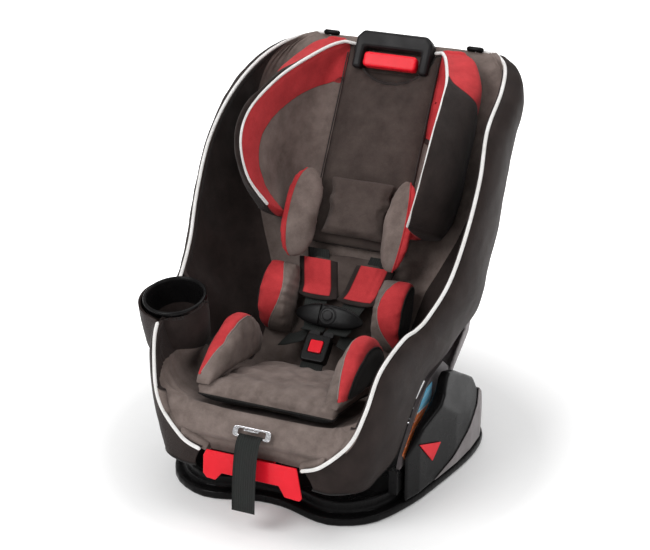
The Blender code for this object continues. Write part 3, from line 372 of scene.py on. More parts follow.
def closed_skin(name, front, rear, finish):
    """A closed mesh between two grids of the same shape."""
    rows, columns = front.shape[:2]
    points = np.concatenate([front.reshape(-1, 3), rear.reshape(-1, 3)])
    top = np.arange(rows * columns).reshape(rows, columns)
    low = top + rows * columns
    faces = []
    for grid, flip in ((top, False), (low, True)):
        quads = np.stack([grid[:-1, :-1], grid[1:, :-1], grid[1:, 1:], grid[:-1, 1:]],
                         -1).reshape(-1, 4)
        faces.append(quads[:, ::-1] if flip else quads)
    edge = np.concatenate([top[:, 0], top[-1, 1:], top[-2::-1, -1], top[0, -2:0:-1]])
    after = np.roll(edge, -1)
    faces.append(np.stack([after, edge, edge + rows * columns, after + rows * columns], -1))
    mesh = bpy.data.meshes.new(name)
    mesh.from_pydata(points.tolist(), [], np.concatenate(faces).tolist())
    return linked(name, mesh, finish)


def coords(made):
    found = np.empty(len(made.data.vertices) * 3)
    made.data.vertices.foreach_get("co", found)
    return found.reshape(-1, 3)


def set_coords(made, points):
    made.data.vertices.foreach_set("co", np.ascontiguousarray(points, float).ravel())
    made.data.update()


def normals(made):
    found = np.empty(len(made.data.vertices) * 3, np.float32)
    made.data.vertex_normals.foreach_get("vector", found)
    return found.reshape(-1, 3).astype(float)


def mark(made, name, values):
    """Keeps a number on each vertex, such as the distance to a seam."""
    attribute = made.data.attributes.new(name, "FLOAT", "POINT")
    attribute.data.foreach_set("value", np.asarray(values, np.float32).ravel())


def capped(made, sides, first_faces_in=False):
    """Closes a wrapped surface with a face over its first ring of points and one over its last."""
    mesh = made.data
    faces, points = [list(face.vertices) for face in mesh.polygons], coords(made).tolist()
    first, last = list(range(sides)), list(range(len(points) - sides, len(points)))
    (last if first_faces_in else first).reverse()
    mesh.clear_geometry()
    mesh.from_pydata(points, [], faces + [first, last])
    mesh.shade_smooth()
    return made


def lengths(points):
    """How far each point lies along its row, from 0 at the start."""
    steps = np.linalg.norm(np.diff(points, axis=-2), axis=-1)
    return np.concatenate([np.zeros((*steps.shape[:-1], 1)), np.cumsum(steps, -1)], -1)


def ripple(points, scale, seed=0.0):
    """Smooth noise at each point, about -1 to 1."""
    flat = np.asarray(points).reshape(-1, 3) * scale + seed * 7.31
    return np.array([noise.noise(Vector(p)) for p in flat]).reshape(np.shape(points)[:-1])


def baked(made, *modifiers):
    """Applies the modifiers: each is (type, settings)."""
    for kind, settings in modifiers:
        modifier = made.modifiers.new(kind.title(), kind)
        for key, value in settings.items():
            setattr(modifier, key, value)
    graph = bpy.context.evaluated_depsgraph_get()
    mesh = bpy.data.meshes.new_from_object(made.evaluated_get(graph), depsgraph=graph)
    made.modifiers.clear()
    old, made.data = made.data, mesh
    bpy.data.meshes.remove(old)
    mesh.shade_smooth()
    return made


def settle(padded, pressure, frames=20, cap=0.008, voxel=0.005):
    """Swells closed meshes, all at once, as cloth under inner pressure, then smooths them."""
    for made in padded:
        baked(made, ("REMESH", {"mode": "VOXEL", "voxel_size": voxel, "use_smooth_shade": True}))
    rest = [coords(made) for made in padded]
    scene = bpy.context.scene
    for made in padded:
        settings = made.modifiers.new("Cloth", "CLOTH").settings
        settings.use_pressure = True
        settings.uniform_pressure_force = pressure
        settings.effector_weights.gravity = 0.0
        settings.quality = 4
        settings.mass = 0.25
        settings.bending_stiffness = 0.4
    for step in range(1, frames + 1):
        scene.frame_set(step)
    graph = bpy.context.evaluated_depsgraph_get()
    for made, start in zip(padded, rest):
        found = made.evaluated_get(graph).data
        moved = np.empty(len(found.vertices) * 3)
        found.vertices.foreach_get("co", moved)
        move = moved.reshape(-1, 3) - start
        far = np.linalg.norm(move, axis=1, keepdims=True)
        move *= np.minimum(1.0, cap / np.maximum(far, 1e-9))
        made.modifiers.clear()
        set_coords(made, start + move)
    scene.frame_set(1)
    for made in padded:
        baked(made, ("SMOOTH", {"factor": 0.5, "iterations": 3}),
              ("SUBSURF", {"levels": 1, "render_levels": 1}))


def contour(made, values, level=0.0):
    """The lines on a mesh where a value of its vertices crosses the level, as lists of points."""
    mesh = made.data
    mesh.calc_loop_triangles()
    triangles = np.empty(len(mesh.loop_triangles) * 3, np.int32)
    mesh.loop_triangles.foreach_get("vertices", triangles)
    triangles, points = triangles.reshape(-1, 3), coords(made)
    side = np.asarray(values) > level
    crossed = triangles[side[triangles].any(1) & ~side[triangles].all(1)]
    where, beside = {}, {}
    for triangle in crossed.tolist():
        ends = []
        for a, b in zip(triangle, triangle[1:] + triangle[:1]):
            if side[a] != side[b]:
                key = (min(a, b), max(a, b))
                if key not in where:
                    t = (level - values[key[0]]) / (values[key[1]] - values[key[0]])
                    where[key] = points[key[0]] * (1 - t) + points[key[1]] * t
                ends.append(key)
        beside.setdefault(ends[0], []).append(ends[1])
        beside.setdefault(ends[1], []).append(ends[0])
    lines, left = [], set(beside)
    while left:
        start = next((key for key in sorted(left) if len(beside[key]) == 1), None) or min(left)
        line, here = [], start
        while here is not None:
            left.discard(here)
            line.append(here)
            here = next((key for key in beside[here] if key in left), None)
        closed = len(line) > 3 and start in beside[line[-1]]
        lines.append(np.array([where[key] for key in line + ([start] if closed else [])]))
    return lines


def evened(points, pitch):
    """The same line with points every pitch, lightly smoothed."""
    points = np.asarray(points, float)
    for _ in range(2):
        points[1:-1] = (points[:-2] + 2 * points[1:-1] + points[2:]) / 4
    run = lengths(points)
    places = np.linspace(0, run[-1], max(int(run[-1] / pitch), 2) + 1)
    return np.stack([np.interp(places, run, points[:, k]) for k in range(3)], -1)


def tube(name, points, radius, finish, sides=10):
    """A round cord through the points, with rounded ends."""
    points = np.asarray(points, float)
    ahead = np.gradient(points, axis=0)
    ahead /= np.linalg.norm(ahead, axis=1, keepdims=True)
    across = np.cross(ahead[0], (0.3, 0.5, 0.8))
    rings = []
    for point, along in zip(points, ahead):
        across = across - along * (across @ along)
        across /= np.linalg.norm(across)
        other = np.cross(along, across)
        turn = np.linspace(0, 2 * math.pi, sides, endpoint=False)[:, None]
        rings.append(point + radius * (np.cos(turn) * across + np.sin(turn) * other))
    caps = [(rings[0] - points[0]) * 0.5 + points[0] - ahead[0] * radius * 0.7,
            (rings[-1] - points[-1]) * 0.5 + points[-1] + ahead[-1] * radius * 0.7]
    made = surface(name, np.array([caps[0], *rings, caps[1]]), finish, wrap=True)
    return capped(made, sides, first_faces_in=True)


def joined(name, pieces):
    """Joins meshes into one object."""
    merged = bpy.data.meshes.new(name)
    points, faces, start = [], [], 0
    for piece in pieces:
        points += coords(piece).tolist()
        faces += [[start + v for v in p.vertices] for p in piece.data.polygons]
        start = len(points)
    merged.from_pydata(points, [], faces)
    made = linked(name, merged, pieces[0].data.materials[0])
    for piece in pieces:
        bpy.data.objects.remove(piece)
    return made


def stitches(name, points, lift, finish, pitch=0.0045, length=0.0030, radius=0.00045):
    """A row of stitches along a line, their middles lifted from the cloth along one vector."""
    line = evened(points, pitch)
    ahead = np.gradient(line, axis=0)
    ahead /= np.linalg.norm(ahead, axis=1, keepdims=True)
    made = []
    for point, along in zip(line, ahead):
        ends = [point - along * length / 2, point + along * length / 2]
        middle = point + lift * radius * 1.2
        made.append(tube(name + "_one", [ends[0], middle, ends[1]], radius, finish, 5))
    return joined(name, made)


def put(made, body, *replaced, slot=None, fill=None):
    """Says what a piece rides on and which CAD nodes it replaces; its slot and fill arguments are
    not used.
    """
    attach(made, body)
    if replaced:
        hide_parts(*replaced)
    return made


# ---- Carried-over CAD pieces ----
for node_row in frame["record"]["subparts"]:
    shown = NODES[node_row["node"]]
    shown.data.materials.clear()
    shown.data.materials.append(SLOT_FINISH[node_row["material_slot"]])
for dark_node in ("headrest_handle", "headrest_lock_bar", "tongue_left", "tongue_right",
                  "chest_clip_button"):
    NODES[dark_node].data.materials[0] = GRIP_PLASTIC


def softened(node, voxel, rounds):
    """Rounds a faceted moulding's edges with modifiers, which leave the CAD mesh as it is."""
    shown = NODES[node]
    weld = shown.modifiers.new("Weld", "WELD")
    weld.merge_threshold = 0.00002
    remesh = shown.modifiers.new("Remesh", "REMESH")
    remesh.mode, remesh.voxel_size, remesh.use_smooth_shade = "VOXEL", voxel, True
    smooth = shown.modifiers.new("Smooth", "SMOOTH")
    smooth.factor, smooth.iterations = 0.5, rounds


for node, voxel, rounds in (
        ("base_pan", 0.0022, 6), ("base_tower_left", 0.0020, 8), ("base_tower_right", 0.0020, 8),
        ("base_panel_left", 0.0008, 3), ("base_panel_right", 0.0008, 3),
        ("headrest_handle", 0.0011, 6),
        ("headrest_button", 0.0008, 5), ("recline_handle", 0.0009, 3),
        ("buckle_housing", 0.0006, 3),
        ("shell_rear_tub", 0.0022, 4),
        ("adjuster_bezel", 0.0004, 2), ("buckle_button", 0.0005, 2)):
    softened(node, voxel, rounds)

# ---- Seat cover: one padded cloth with its seams ----
SEAM_V = ((0, 1.06), (1, 1.02), (2, 0.84), (3, 0.68), (4, 0.58), (5, 0.50), (6, 0.43), (7, 0.41),
          (8, 0.45),
          (8.5, 0.58), (9, 0.73), (10, 0.76), (10.9, 0.80), (11.5, 0.96), (12, 1.05), (14, 1.08))
CLOTH_RADIUS = {1: 0.0495, -1: 0.0575}   # of the cloth round the cup, on its inner and outer side


def round_the_cup(points, toward):
    """Pushes cloth off the cup's column, to its inner side (toward 1) or its outer side (-1)."""
    local = in_frame(points, CUP_CENTRE, CUP_AXES)
    a, b, h = local[..., 0], local[..., 1], local[..., 2]
    radius = CLOTH_RADIUS[toward] - 0.0035 * smoothstep(-0.02, -0.09, h)
    reach = np.sqrt(np.maximum(radius ** 2 - b ** 2, 0))
    near = smoothstep(-0.125, -0.070, h) * smoothstep(0.070, 0.050, np.abs(b))
    soft = 0.006
    pushed = (a * toward + reach + np.sqrt((a * toward - reach) ** 2 + soft ** 2)) / 2 * toward
    local[..., 0] = a + (pushed - a) * near
    top = -0.0035
    lid = h - np.maximum(h - top, 0) * smoothstep(0.070, 0.052, np.hypot(local[..., 0], b))
    local[..., 2] = lid
    return CUP_CENTRE + local @ CUP_AXES


def outward(points):
    """Unit normals of a grid of points."""
    cross = np.cross(np.gradient(points, axis=1), np.gradient(points, axis=0))
    return cross / np.maximum(np.linalg.norm(cross, axis=-1, keepdims=True), 1e-12)


def seat_cover():
    """The liner: quilted down its seam, with gathers, creases, ruffles and slack folds."""
    u = np.linspace(0.0, LAST, 300)
    v = np.linspace(-1, 1, 281)
    points = liner_face(u, v)
    run = lengths(points)
    seam_at = np.interp(u, *zip(*SEAM_V))
    arc = np.array([np.interp(np.abs(row), v[v >= 0], line[v >= 0] - line[len(v) // 2])
                    for row, line in zip(np.broadcast_to(v, points.shape[:2]), run)])
    seam_arc = np.array([np.interp(at, v[v >= 0], line[v >= 0] - line[len(v) // 2]) if at <= 1
                         else line[-1] - line[len(v) // 2] + (at - 1) * 0.6 for at,
                         line in zip(seam_at, run)])
    wall = arc - seam_arc[:, None]
    facing = outward(points)
    along, world = u[:, None], points
    depth = 0.0035 * (1 - np.exp(-np.abs(wall) / 0.010)) - 0.0015
    depth += 0.0022 * ripple(world, 9.0, 1) + 0.0012 * ripple(world, 24.0, 2)
    gathers = np.sin(along * 34 + 2.0 * ripple(world, 14.0, 3)) * np.exp(-np.abs(wall) / 0.020)
    depth += 0.0010 * gathers * smoothstep(8.4, 9.2, along)
    # creases that fan out from the cushion's front corners towards the rim
    for side in (-1, 1):
        corner = pan(0.118 * side, 0.225, -0.01)
        away = points - corner
        angle = np.arctan2(away @ PAN_FORE, (away @ ACROSS) * side)
        reach = np.linalg.norm(away, axis=-1)
        fan = np.sin(angle * 11
                     + 2.2 * ripple(world, 12.0, 4 + side)) * smoothstep(0.004, 0.03, reach)
        depth += (0.0032 * fan * np.exp(-reach / 0.055) * smoothstep(-0.5, 0.1, angle)
                  * smoothstep(2.0, 1.5, angle))
    # ruffles at the top of the back, and slack folds down the walls
    ruffle = np.sin(np.abs(v)[None, :] * 70 + along * 6 + 3 * ripple(world, 16.0, 6))
    depth += 0.0030 * ruffle * smoothstep(2.6, 0.4,
                                          along) * smoothstep(0.55, 0.8, np.abs(v))[None, :]
    slack = np.sin(along * 4.2 + 2.4 * ripple(world, 7.0, 7)) * smoothstep(0.0, 0.03, wall)
    depth += 0.0024 * slack * smoothstep(1.0, 0.88, np.abs(v))[None, :]
    beneath = in_frame(points, BIGHT, PAN_AXES)
    under = smoothstep(0.112, 0.095,
                       np.abs(beneath[..., 0])) * smoothstep(0.02, 0.05, beneath[..., 1])
    depth += 0.0060 * under * smoothstep(0.236, 0.215,
                                         beneath[..., 1]) * smoothstep(8.4, 9.0, along)
    to_rim = run[:, -1:] / 2 - arc
    corner_fade = 0.016 + 0.030 * smoothstep(9.8, 11.0, along)
    depth = depth * np.clip(to_rim / corner_fade, 0,
                            1) ** 2 - 0.004 * smoothstep(0.012, 0.0, to_rim)
    points = points + facing * depth[..., None]
    right = (v < -0.3)[None, :, None] & (points[..., 1:2] < -0.08) & (points[..., 1:2] > -0.23)
    points = np.where(right, round_the_cup(points, 1), points)
    tucked = smoothstep(0.140, 0.124,
                        points[..., 2]) * smoothstep(0.150, 0.118, np.abs(points[..., 0]))
    points[..., 1] += 0.010 * tucked * (points[..., 1] < -0.20)
    made = surface("seat_cover", points, LINER_CLOTH)
    mark(made, "wall", wall)
    baked(made, ("SOLIDIFY", {"thickness": 0.006, "offset": -1.0}))
    put(made, "seat", "seat_liner", slot="taupe_suede", fill=0.3)


seat_cover()


def outer_cover(side_name, side):
    """One side's outer cover, with its hem's cord and a row of stitches above it."""
    u = np.linspace(0.0, LAST, 290)
    w = np.linspace(0.0, 1.0, 90)
    points = cover_face(u, w)
    facing = -outward(points)
    facing *= np.sign(facing[..., 0:1].mean())
    along, down = u[:, None], w[None, :]
    folds = np.sin(along * 3.4 + 3.0 * ripple(points * (1, 1, 0.5), 6.0, 11 + side))
    depth = 0.0013 * folds * smoothstep(0.12, 0.7, down) + 0.0016 * ripple(points, 12.0, 12 + side)
    depth += 0.0009 * ripple(points, 40.0, 13 + side)
    depth *= smoothstep(0.0, 0.10, down) * (1 - 0.5 * smoothstep(10.5, 12.5, along))
    points = (points + facing * depth[..., None]) * (side, 1, 1)
    if side < 0:
        near = (points[..., 1:2] < -0.08) & (points[..., 1:2] > -0.23)
        points = np.where(near, round_the_cup(points, -1), points)
    made = surface("side_cover_" + side_name, points, COVER_CLOTH)
    baked(made, ("SOLIDIFY", {"thickness": 0.004, "offset": -1.0 if side > 0 else 1.0}))
    put(made, "seat", "outer_cover_" + side_name, slot="dark_satin", fill=0.2)
    hem = points[:, -1] + (points[:, -4] - points[:, -1]) * 0.9
    hem_line = points[:, -1] + (0, 0, 0.0015)
    hem_line[:, 0] -= 0.0034 * side * smoothstep(9.8, 10.5, u) * smoothstep(12.6, 11.8, u)
    cord = tube("hem_binding_" + side_name, evened(hem_line, 0.004), 0.0018, PIPING_BLACK)
    put(cord, "seat", slot="dark_satin")
    row = stitches("hem_stitching_" + side_name, hem + facing[:, -4] * (side, 1, 1) * 0.0006,
                   facing[10, -4] * (side, 1, 1), THREAD_DARK, pitch=0.006, length=0.004,
                   radius=0.0005)
    put(row, "seat", slot="webbing")


for side_name, side in SIDES:
    outer_cover(side_name, side)


def rim_line(u, side):
    """The rim's piping line, riding slightly proud of the cloth."""
    front = smoothstep(10.4, 12.2, np.asarray(u))[:, None]
    points = spline(STATIONS[:, 0:3], u) + (0.0012, 0, 0.0012) + front * (0.0030, -0.0050, -0.0005)
    return points * (side, 1, 1)


PIPING_RADIUS = 0.0029
TOP_END = back(0.128, 0.560, -0.036)
rim_left = np.concatenate([[TOP_END], rim_line(np.linspace(0.05, LAST, 400), 1.0)])
put(tube("rim_piping_left", evened(rim_left, 0.003), PIPING_RADIUS, PIPING_WHITE), "seat",
    slot="webbing")
for part, low, high in (("upper", 0.05, 7.42), ("lower", 9.85, LAST)):
    line = rim_line(np.linspace(low, high, 300), -1.0)
    if part == "upper":
        line = np.concatenate([[TOP_END * (-1, 1, 1)], line])
    put(tube(f"rim_piping_right_{part}", evened(line, 0.003), PIPING_RADIUS, PIPING_WHITE), "seat",
        slot="webbing")


# ---- Body support: cushion, back pad and bolsters, swollen together ----
def slab(name, place, half_width, near, far, top, bottom, finish, steps=24):
    """A closed pad between two heights of place(x, along, height), half_width(t) to each side."""
    t, i = np.linspace(0, 1, steps), np.linspace(-1, 1, steps)
    x = i[:, None] * np.array([half_width(k) for k in t])[None, :]
    along = np.broadcast_to(near + (far - near) * t, x.shape)
    return closed_skin(name, place(x, along, top), place(x, along, bottom), finish)


def outline_slab(name, place, outline, low, high, finish, depth_steps=8):
    """A closed pad: an outline of (a, b) pairs in the side view, from x low to x high."""
    ring = evened(np.array([(a, b, 0.0) for a, b in [*outline, outline[0]]]), 0.006)[:-1]
    rows = [place(np.full(len(ring), x), ring[:, 0], ring[:, 1])
            for x in np.linspace(low, high, depth_steps)]
    return capped(surface(name, np.array(rows), finish, wrap=True), len(ring))


SEAT_BOLSTER = ((0.234, 0.000), (0.232, 0.012), (0.207, 0.042), (0.172, 0.080), (0.142, 0.098),
                (0.112, 0.101),
                (0.080, 0.093), (0.052, 0.073), (0.034, 0.046), (0.026, 0.020), (0.026, 0.000))
BACK_BOLSTER = ((0.046, -0.020), (0.160, -0.020), (0.174, -0.006), (0.170, 0.026), (0.146, 0.048),
                (0.104, 0.055),
                (0.068, 0.050), (0.046, 0.026))


def seat_width(t):
    """Half the cushion's width, from 0 at its rear to 1 at its front."""
    return 0.099 + 0.019 * t


cushion = slab("seat_pad", pan, seat_width, 0.018, 0.236, -0.002, -0.0185, CUSHION_CLOTH)
lumbar = slab("back_support_pad", back, lambda t: 0.080 - 0.006 * t, 0.034, 0.198, -0.0095, -0.022,
              PILLOW_CLOTH)
seat_bolsters, back_bolsters = {}, {}
for side_name, side in SIDES:
    seat_bolsters[side_name] = outline_slab("hip_bolster_" + side_name, pan, SEAT_BOLSTER,
                                            0.093 * side, 0.118 * side,
                                            BOLSTER_CLOTH)
    back_bolsters[side_name] = outline_slab("torso_bolster_" + side_name, back, BACK_BOLSTER,
                                            0.075 * side,
                                            0.124 * side, BOLSTER_CLOTH)


def lens(along, start, end):
    """0 at both ends of a stretch and 1 in its middle."""
    t = np.clip((along - start) / (end - start), 0, 1)
    return np.sin(t * math.pi) ** 0.8


def finish_bolster(made, side, axes, start, end, body, node, gathers):
    """Marks a bolster's crown and outside panel, and adds its seams, gathers and piping."""
    local = in_frame(coords(made), BIGHT, axes)
    x, along, high = local[:, 0] * side, local[:, 1], local[:, 2]
    x0, x1 = x.min(), x.max()
    wide = x1 - x0
    lifted = smoothstep(start[1], start[1] + 0.02, high)
    inner_seam = x1 - wide * (0.16 + 0.62 * lens(along, start[0], end))
    outer_seam = x1 - wide * 0.10
    crown = np.minimum(x - inner_seam, outer_seam - x)
    crown = np.where(lifted > 0, crown, -0.01)
    facing = normals(made)
    groove = -0.0010 * np.exp(-(crown / 0.0025) ** 2)
    pucker = np.sin(along * 420
                    + 1.5 * ripple(local, 30, 5)) * np.exp(-np.abs(x - inner_seam + 0.006) / 0.010)
    window = smoothstep(gathers[0], gathers[0] + 0.02,
                        along) * smoothstep(gathers[1], gathers[1] - 0.02, along)
    lumps = 0.0014 * ripple(local, 22.0, 8 + side) + 0.0008 * pucker * window
    set_coords(made, coords(made) + facing * (groove + lumps)[:, None])
    mark(made, "crown", crown)
    mark(made, "outside", x - outer_seam)
    put(made, body, node, slot="red_fabric", fill=0.7)
    name = made.name
    for label, values, radius, finish in (("inner", x - inner_seam, 0.0009, PIPING_TAUPE),
                                          ("outer", x - outer_seam, 0.0011, PIPING_BLACK)):
        lines = [line for line in contour(made, values) if len(line) > 30]
        kept = []
        for line in lines:
            spot = in_frame(line, BIGHT, axes)
            chosen = line[(spot[:, 2] > start[1] + 0.004)]
            if len(chosen) > 20:
                jumps = np.linalg.norm(np.diff(chosen, axis=0), axis=1)
                pieces = np.split(chosen, np.where(jumps > 0.012)[0] + 1)
                kept += [evened(piece, 0.003) for piece in pieces if len(piece) > 15]
        if kept:
            cords = [tube(name + "_cord", line, radius, finish, 8) for line in kept]
            put(joined(f"{name}_{label}_piping", cords), body, slot="red_fabric")


# ---- Headrest: centre panel, wings, pillow and harness pads ----
NECK_CENTRE, NECK_RADIUS = 0.556, 0.074
PANEL_HALF, PANEL_LOW = 0.0805, 0.206


def headrest_panel():
    """The centre panel, with the round neck opening at its top."""
    steps = 90
    x = np.linspace(-PANEL_HALF, PANEL_HALF, steps)
    top = np.where(np.abs(x) < NECK_RADIUS * 0.98,
                   NECK_CENTRE - np.sqrt(np.maximum(NECK_RADIUS ** 2 - x ** 2, 0)), 0.545)
    top = np.minimum(top, 0.540)
    t = np.linspace(0, 1, 150)
    s = PANEL_LOW + (top[:, None] - PANEL_LOW) * t[None, :]
    xx = np.broadcast_to(x[:, None], s.shape)
    edge = np.minimum(PANEL_HALF - np.abs(xx), np.minimum(s - PANEL_LOW, top[:, None] - s))
    crown = 0.010 * (1 - np.exp(-np.maximum(edge, 0) / 0.012))
    fan = np.sin(np.arctan2(xx, NECK_CENTRE
                            - s) * 26) * np.exp(-(top[:, None] - s) / 0.030) * 0.0010
    points = back(xx, s, -0.0150 + crown + fan)
    points = points + BACK_OUT * (0.0014 * ripple(points, 14.0, 21)
                                  + 0.0007 * ripple(points, 40.0, 22))[..., None]
    made = closed_skin("headrest_panel", points, back(xx, s, np.full(s.shape, -0.0222)), HEAD_CLOTH)
    put(made, "headrest", "headrest_cushion", slot="taupe_suede", fill=0.5)
    low = back(np.linspace(-0.066, 0.066, 12)[:, None], np.linspace(0.470, 0.500, 6)[None, :],
               -0.0212)
    put(closed_skin("neck_backing", low, low - BACK_OUT * 0.0008, HEAD_CLOTH), "headrest",
        slot="dark_satin")
    binding = points[:, -1] + BACK_OUT * 0.0005
    put(tube("neck_opening_binding", evened(binding, 0.003), 0.0026, THREAD_DARK), "headrest",
        slot="dark_satin")
    for side_name, side in SIDES:
        line = back(0.0800 * side, np.linspace(0.215, 0.525, 60), -0.0085)
        put(tube("headrest_seam_" + side_name, line, 0.0012, THREAD_DARK), "headrest",
            slot="dark_satin")


headrest_panel()

WING_RINGS = (
    ((0.084, 0.541, -0.002), (0.0800, 0.534, -0.017), (0.104, 0.545, -0.016)),
    ((0.101, 0.523, 0.022), (0.0800, 0.505, -0.017), (0.128, 0.533, -0.012)),
    ((0.126, 0.478, 0.069), (0.0800, 0.458, -0.017), (0.150, 0.495, -0.006)),
    ((0.141, 0.433, 0.115), (0.0800, 0.415, -0.017), (0.158, 0.450, -0.004)),
    ((0.153, 0.371, 0.161), (0.0800, 0.355, -0.017), (0.160, 0.380, -0.003)),
    ((0.153, 0.318, 0.168), (0.0800, 0.305, -0.017), (0.160, 0.320, -0.003)),
    ((0.140, 0.268, 0.140), (0.0800, 0.262, -0.017), (0.156, 0.270, -0.004)),
    ((0.119, 0.238, 0.090), (0.0800, 0.236, -0.017), (0.140, 0.240, -0.008)))
RIDGE_AT = 3                          # the ridge's place among a section's control points
INNER_STEPS, OUTER_STEPS = 60, 80     # of a section, from its start to the ridge and from there on
BAND_WIDTH = {1: 0.17,
              -1: 0.068}     # of the red band, from the ridge inwards; all of the left wing's
FLANK_RED = (1.55,
             3.35)              # the ring where the flank's red ends, by the ridge and at the rear
OFF_PANEL = 0.004                     # a seam distance for the side that a seam isn't on
CAP_RINGS = 6


def wing_controls(ridge, inside, outside):
    """A section's control points: up the hollow inner face, over the ridge and down outside."""
    ridge, inside, outside = (np.array(p) for p in (ridge, inside, outside))
    reach, rise = abs(ridge[0] - inside[0]), ridge[2] - inside[2]
    low_hollow = inside + (ridge - inside) * 0.15 + (0.34 * reach, 0, -0.08 * rise)
    hollow = inside + (ridge - inside) * 0.45 + (0.30 * reach, 0, -0.20 * rise)
    over = ridge + (0.0130, 0, -0.005)
    swell = outside + (ridge - outside) * 0.52 + (0.027, 0, 0)
    low_swell = outside + (ridge - outside) * 0.18 + (0.016, 0, 0)
    return np.array((inside, low_hollow, hollow, ridge, over, swell, low_swell, outside))


def end_caps(section, direction):
    """Sections that shrink towards their middle, to round a wing's end."""
    middle = section.mean(0)
    return [middle + (section - middle) * math.cos(a)
            + np.array((0, direction, 0)) * 0.008 * math.sin(a)
            for a in np.linspace(0, math.pi / 2, CAP_RINGS + 1)[1:]]


def wing(side_name, side):
    """One wing, with its panels marked and piping on its ridge and its rear edge."""
    controls = np.array([wing_controls(*row) for row in WING_RINGS])
    t = np.linspace(0, len(WING_RINGS) - 1, 150)
    rows = np.stack([spline(controls[:, k], t) for k in range(controls.shape[1])], 1)
    k = np.concatenate([np.linspace(0, RIDGE_AT, INNER_STEPS)[:-1],
                        np.linspace(RIDGE_AT, controls.shape[1] - 1, OUTER_STEPS)])
    ridge_column = INNER_STEPS - 1
    sections = np.array([spline(row, k) for row in rows])
    run = lengths(sections)
    ridge_run = run[:, ridge_column:ridge_column + 1]
    inner_side = (np.arange(len(k)) <= ridge_column)[None, :]
    from_ridge = ridge_run - run
    band_edge = BAND_WIDTH[side] * (1 + 0.15 * np.sin(t * 0.9))[:, None]
    band = np.where(inner_side, band_edge - from_ridge, OFF_PANEL)
    flank_share = np.clip(-from_ridge / np.maximum(run[:, -1:] - ridge_run, 1e-6), 0, 1)
    red_until = FLANK_RED[0] + (FLANK_RED[1] - FLANK_RED[0]) * flank_share ** 0.8
    flank = np.minimum((t[:, None] - red_until) * 0.045, -from_ridge - 0.001)
    flank = np.where(inner_side, -OFF_PANEL, flank)
    crest = np.where(inner_side, -OFF_PANEL, -flank)
    seam = np.where(inner_side, band, flank)
    points = sections.copy()
    facing = outward(points)
    facing *= 1 if facing[len(t) // 2, INNER_STEPS // 2, 0] < 0 else -1
    depth = 0.0020 * (1 - np.exp(-np.abs(seam) / 0.008)) - 0.0010
    depth += 0.0016 * ripple(points, 16.0, 31 + side) + 0.0007 * ripple(points, 45.0, 33 + side)
    depth *= smoothstep(0, 0.012, np.abs(from_ridge))
    points = points + facing * depth[..., None]
    top, low = end_caps(points[0], 1.0), end_caps(points[-1], -1.0)
    whole = np.array([*top[::-1], *points, *low])
    made = surface("wing_" + side_name, back(whole[..., 0] * side, whole[..., 1], whole[..., 2]),
                   WING_CLOTH, wrap=True)
    for name, values in (("band", band), ("flank", flank), ("crest", crest)):
        ends = [values[:1]] * CAP_RINGS, [values[-1:]] * CAP_RINGS
        mark(made, name, np.concatenate([*ends[0], values, *ends[1]]))
    put(made, "headrest", "headrest_wing_" + side_name, slot="red_fabric", fill=0.6)
    ridge = points[:, ridge_column] + (0.001, 0, 0.0018)
    world = back(ridge[:, 0] * side, ridge[:, 1], ridge[:, 2])
    top_end = back(0.070 * side, 0.5415, -0.012)
    line = evened(np.concatenate([[top_end], world]), 0.003)
    put(tube("wing_piping_" + side_name, line, 0.0027, PIPING_WHITE), "headrest", slot="webbing")
    rear = points[:, -1] + (0.0015, 0, 0)
    line = evened(back(rear[:, 0] * side, rear[:, 1], rear[:, 2]), 0.003)
    put(tube("wing_rear_piping_" + side_name, line, 0.0024, PIPING_BLACK), "headrest",
        slot="dark_satin")


for side_name, side in SIDES:
    wing(side_name, side)

pillow = slab("pillow_centre", back, lambda t: 0.061 - 0.010 * abs(t - 0.6), 0.210, 0.323, 0.007,
              -0.0012, PILLOW_CLOTH)
LOBE_CENTRE, LOBE_HALF = (0.0840, 0.243, 0.0300), (0.0325, 0.077, 0.0115)
LOBE_LEAN = math.radians(27)


def lobe(side_name, side):
    """A lobe of the head pillow: an oval pad that leans inwards."""
    b = np.sin(np.linspace(-1, 1, 26) * math.pi / 2 * 0.96)
    turn = np.linspace(0, 2 * math.pi, 32, endpoint=False)
    size = np.sqrt(1 - np.abs(b) ** 2.6)[:, None]
    across, depth = LOBE_HALF[0] * size * np.cos(turn), LOBE_HALF[2] * size * np.sin(turn)
    x = LOBE_CENTRE[0] + across * math.cos(LOBE_LEAN) - depth * math.sin(LOBE_LEAN)
    d = LOBE_CENTRE[2] + across * math.sin(LOBE_LEAN) + depth * math.cos(LOBE_LEAN)
    s = np.broadcast_to((LOBE_CENTRE[1] + LOBE_HALF[1] * b)[:, None], x.shape)
    made = surface("pillow_side_" + side_name, back(x * side, s, d), LOBE_CLOTH, wrap=True)
    return capped(made, len(turn), first_faces_in=True)


lobes = {side_name: lobe(side_name, side) for side_name, side in SIDES}

STRAP_LOW, STRAP_HIGH = 0.0235, -0.0045
PAD_LOW, PAD_LENGTH, PAD_HALF = 0.1085, 0.067, 0.0335
PAD_FLAT_HALF = 0.0255                # half the width that the binding is measured on
PAD_BINDING = 0.0075


def strap_depth(s):
    """How far in front of the back's plane the shoulder strap runs."""
    return STRAP_LOW + (STRAP_HIGH - STRAP_LOW) * smoothstep(0.090, 0.135, s)


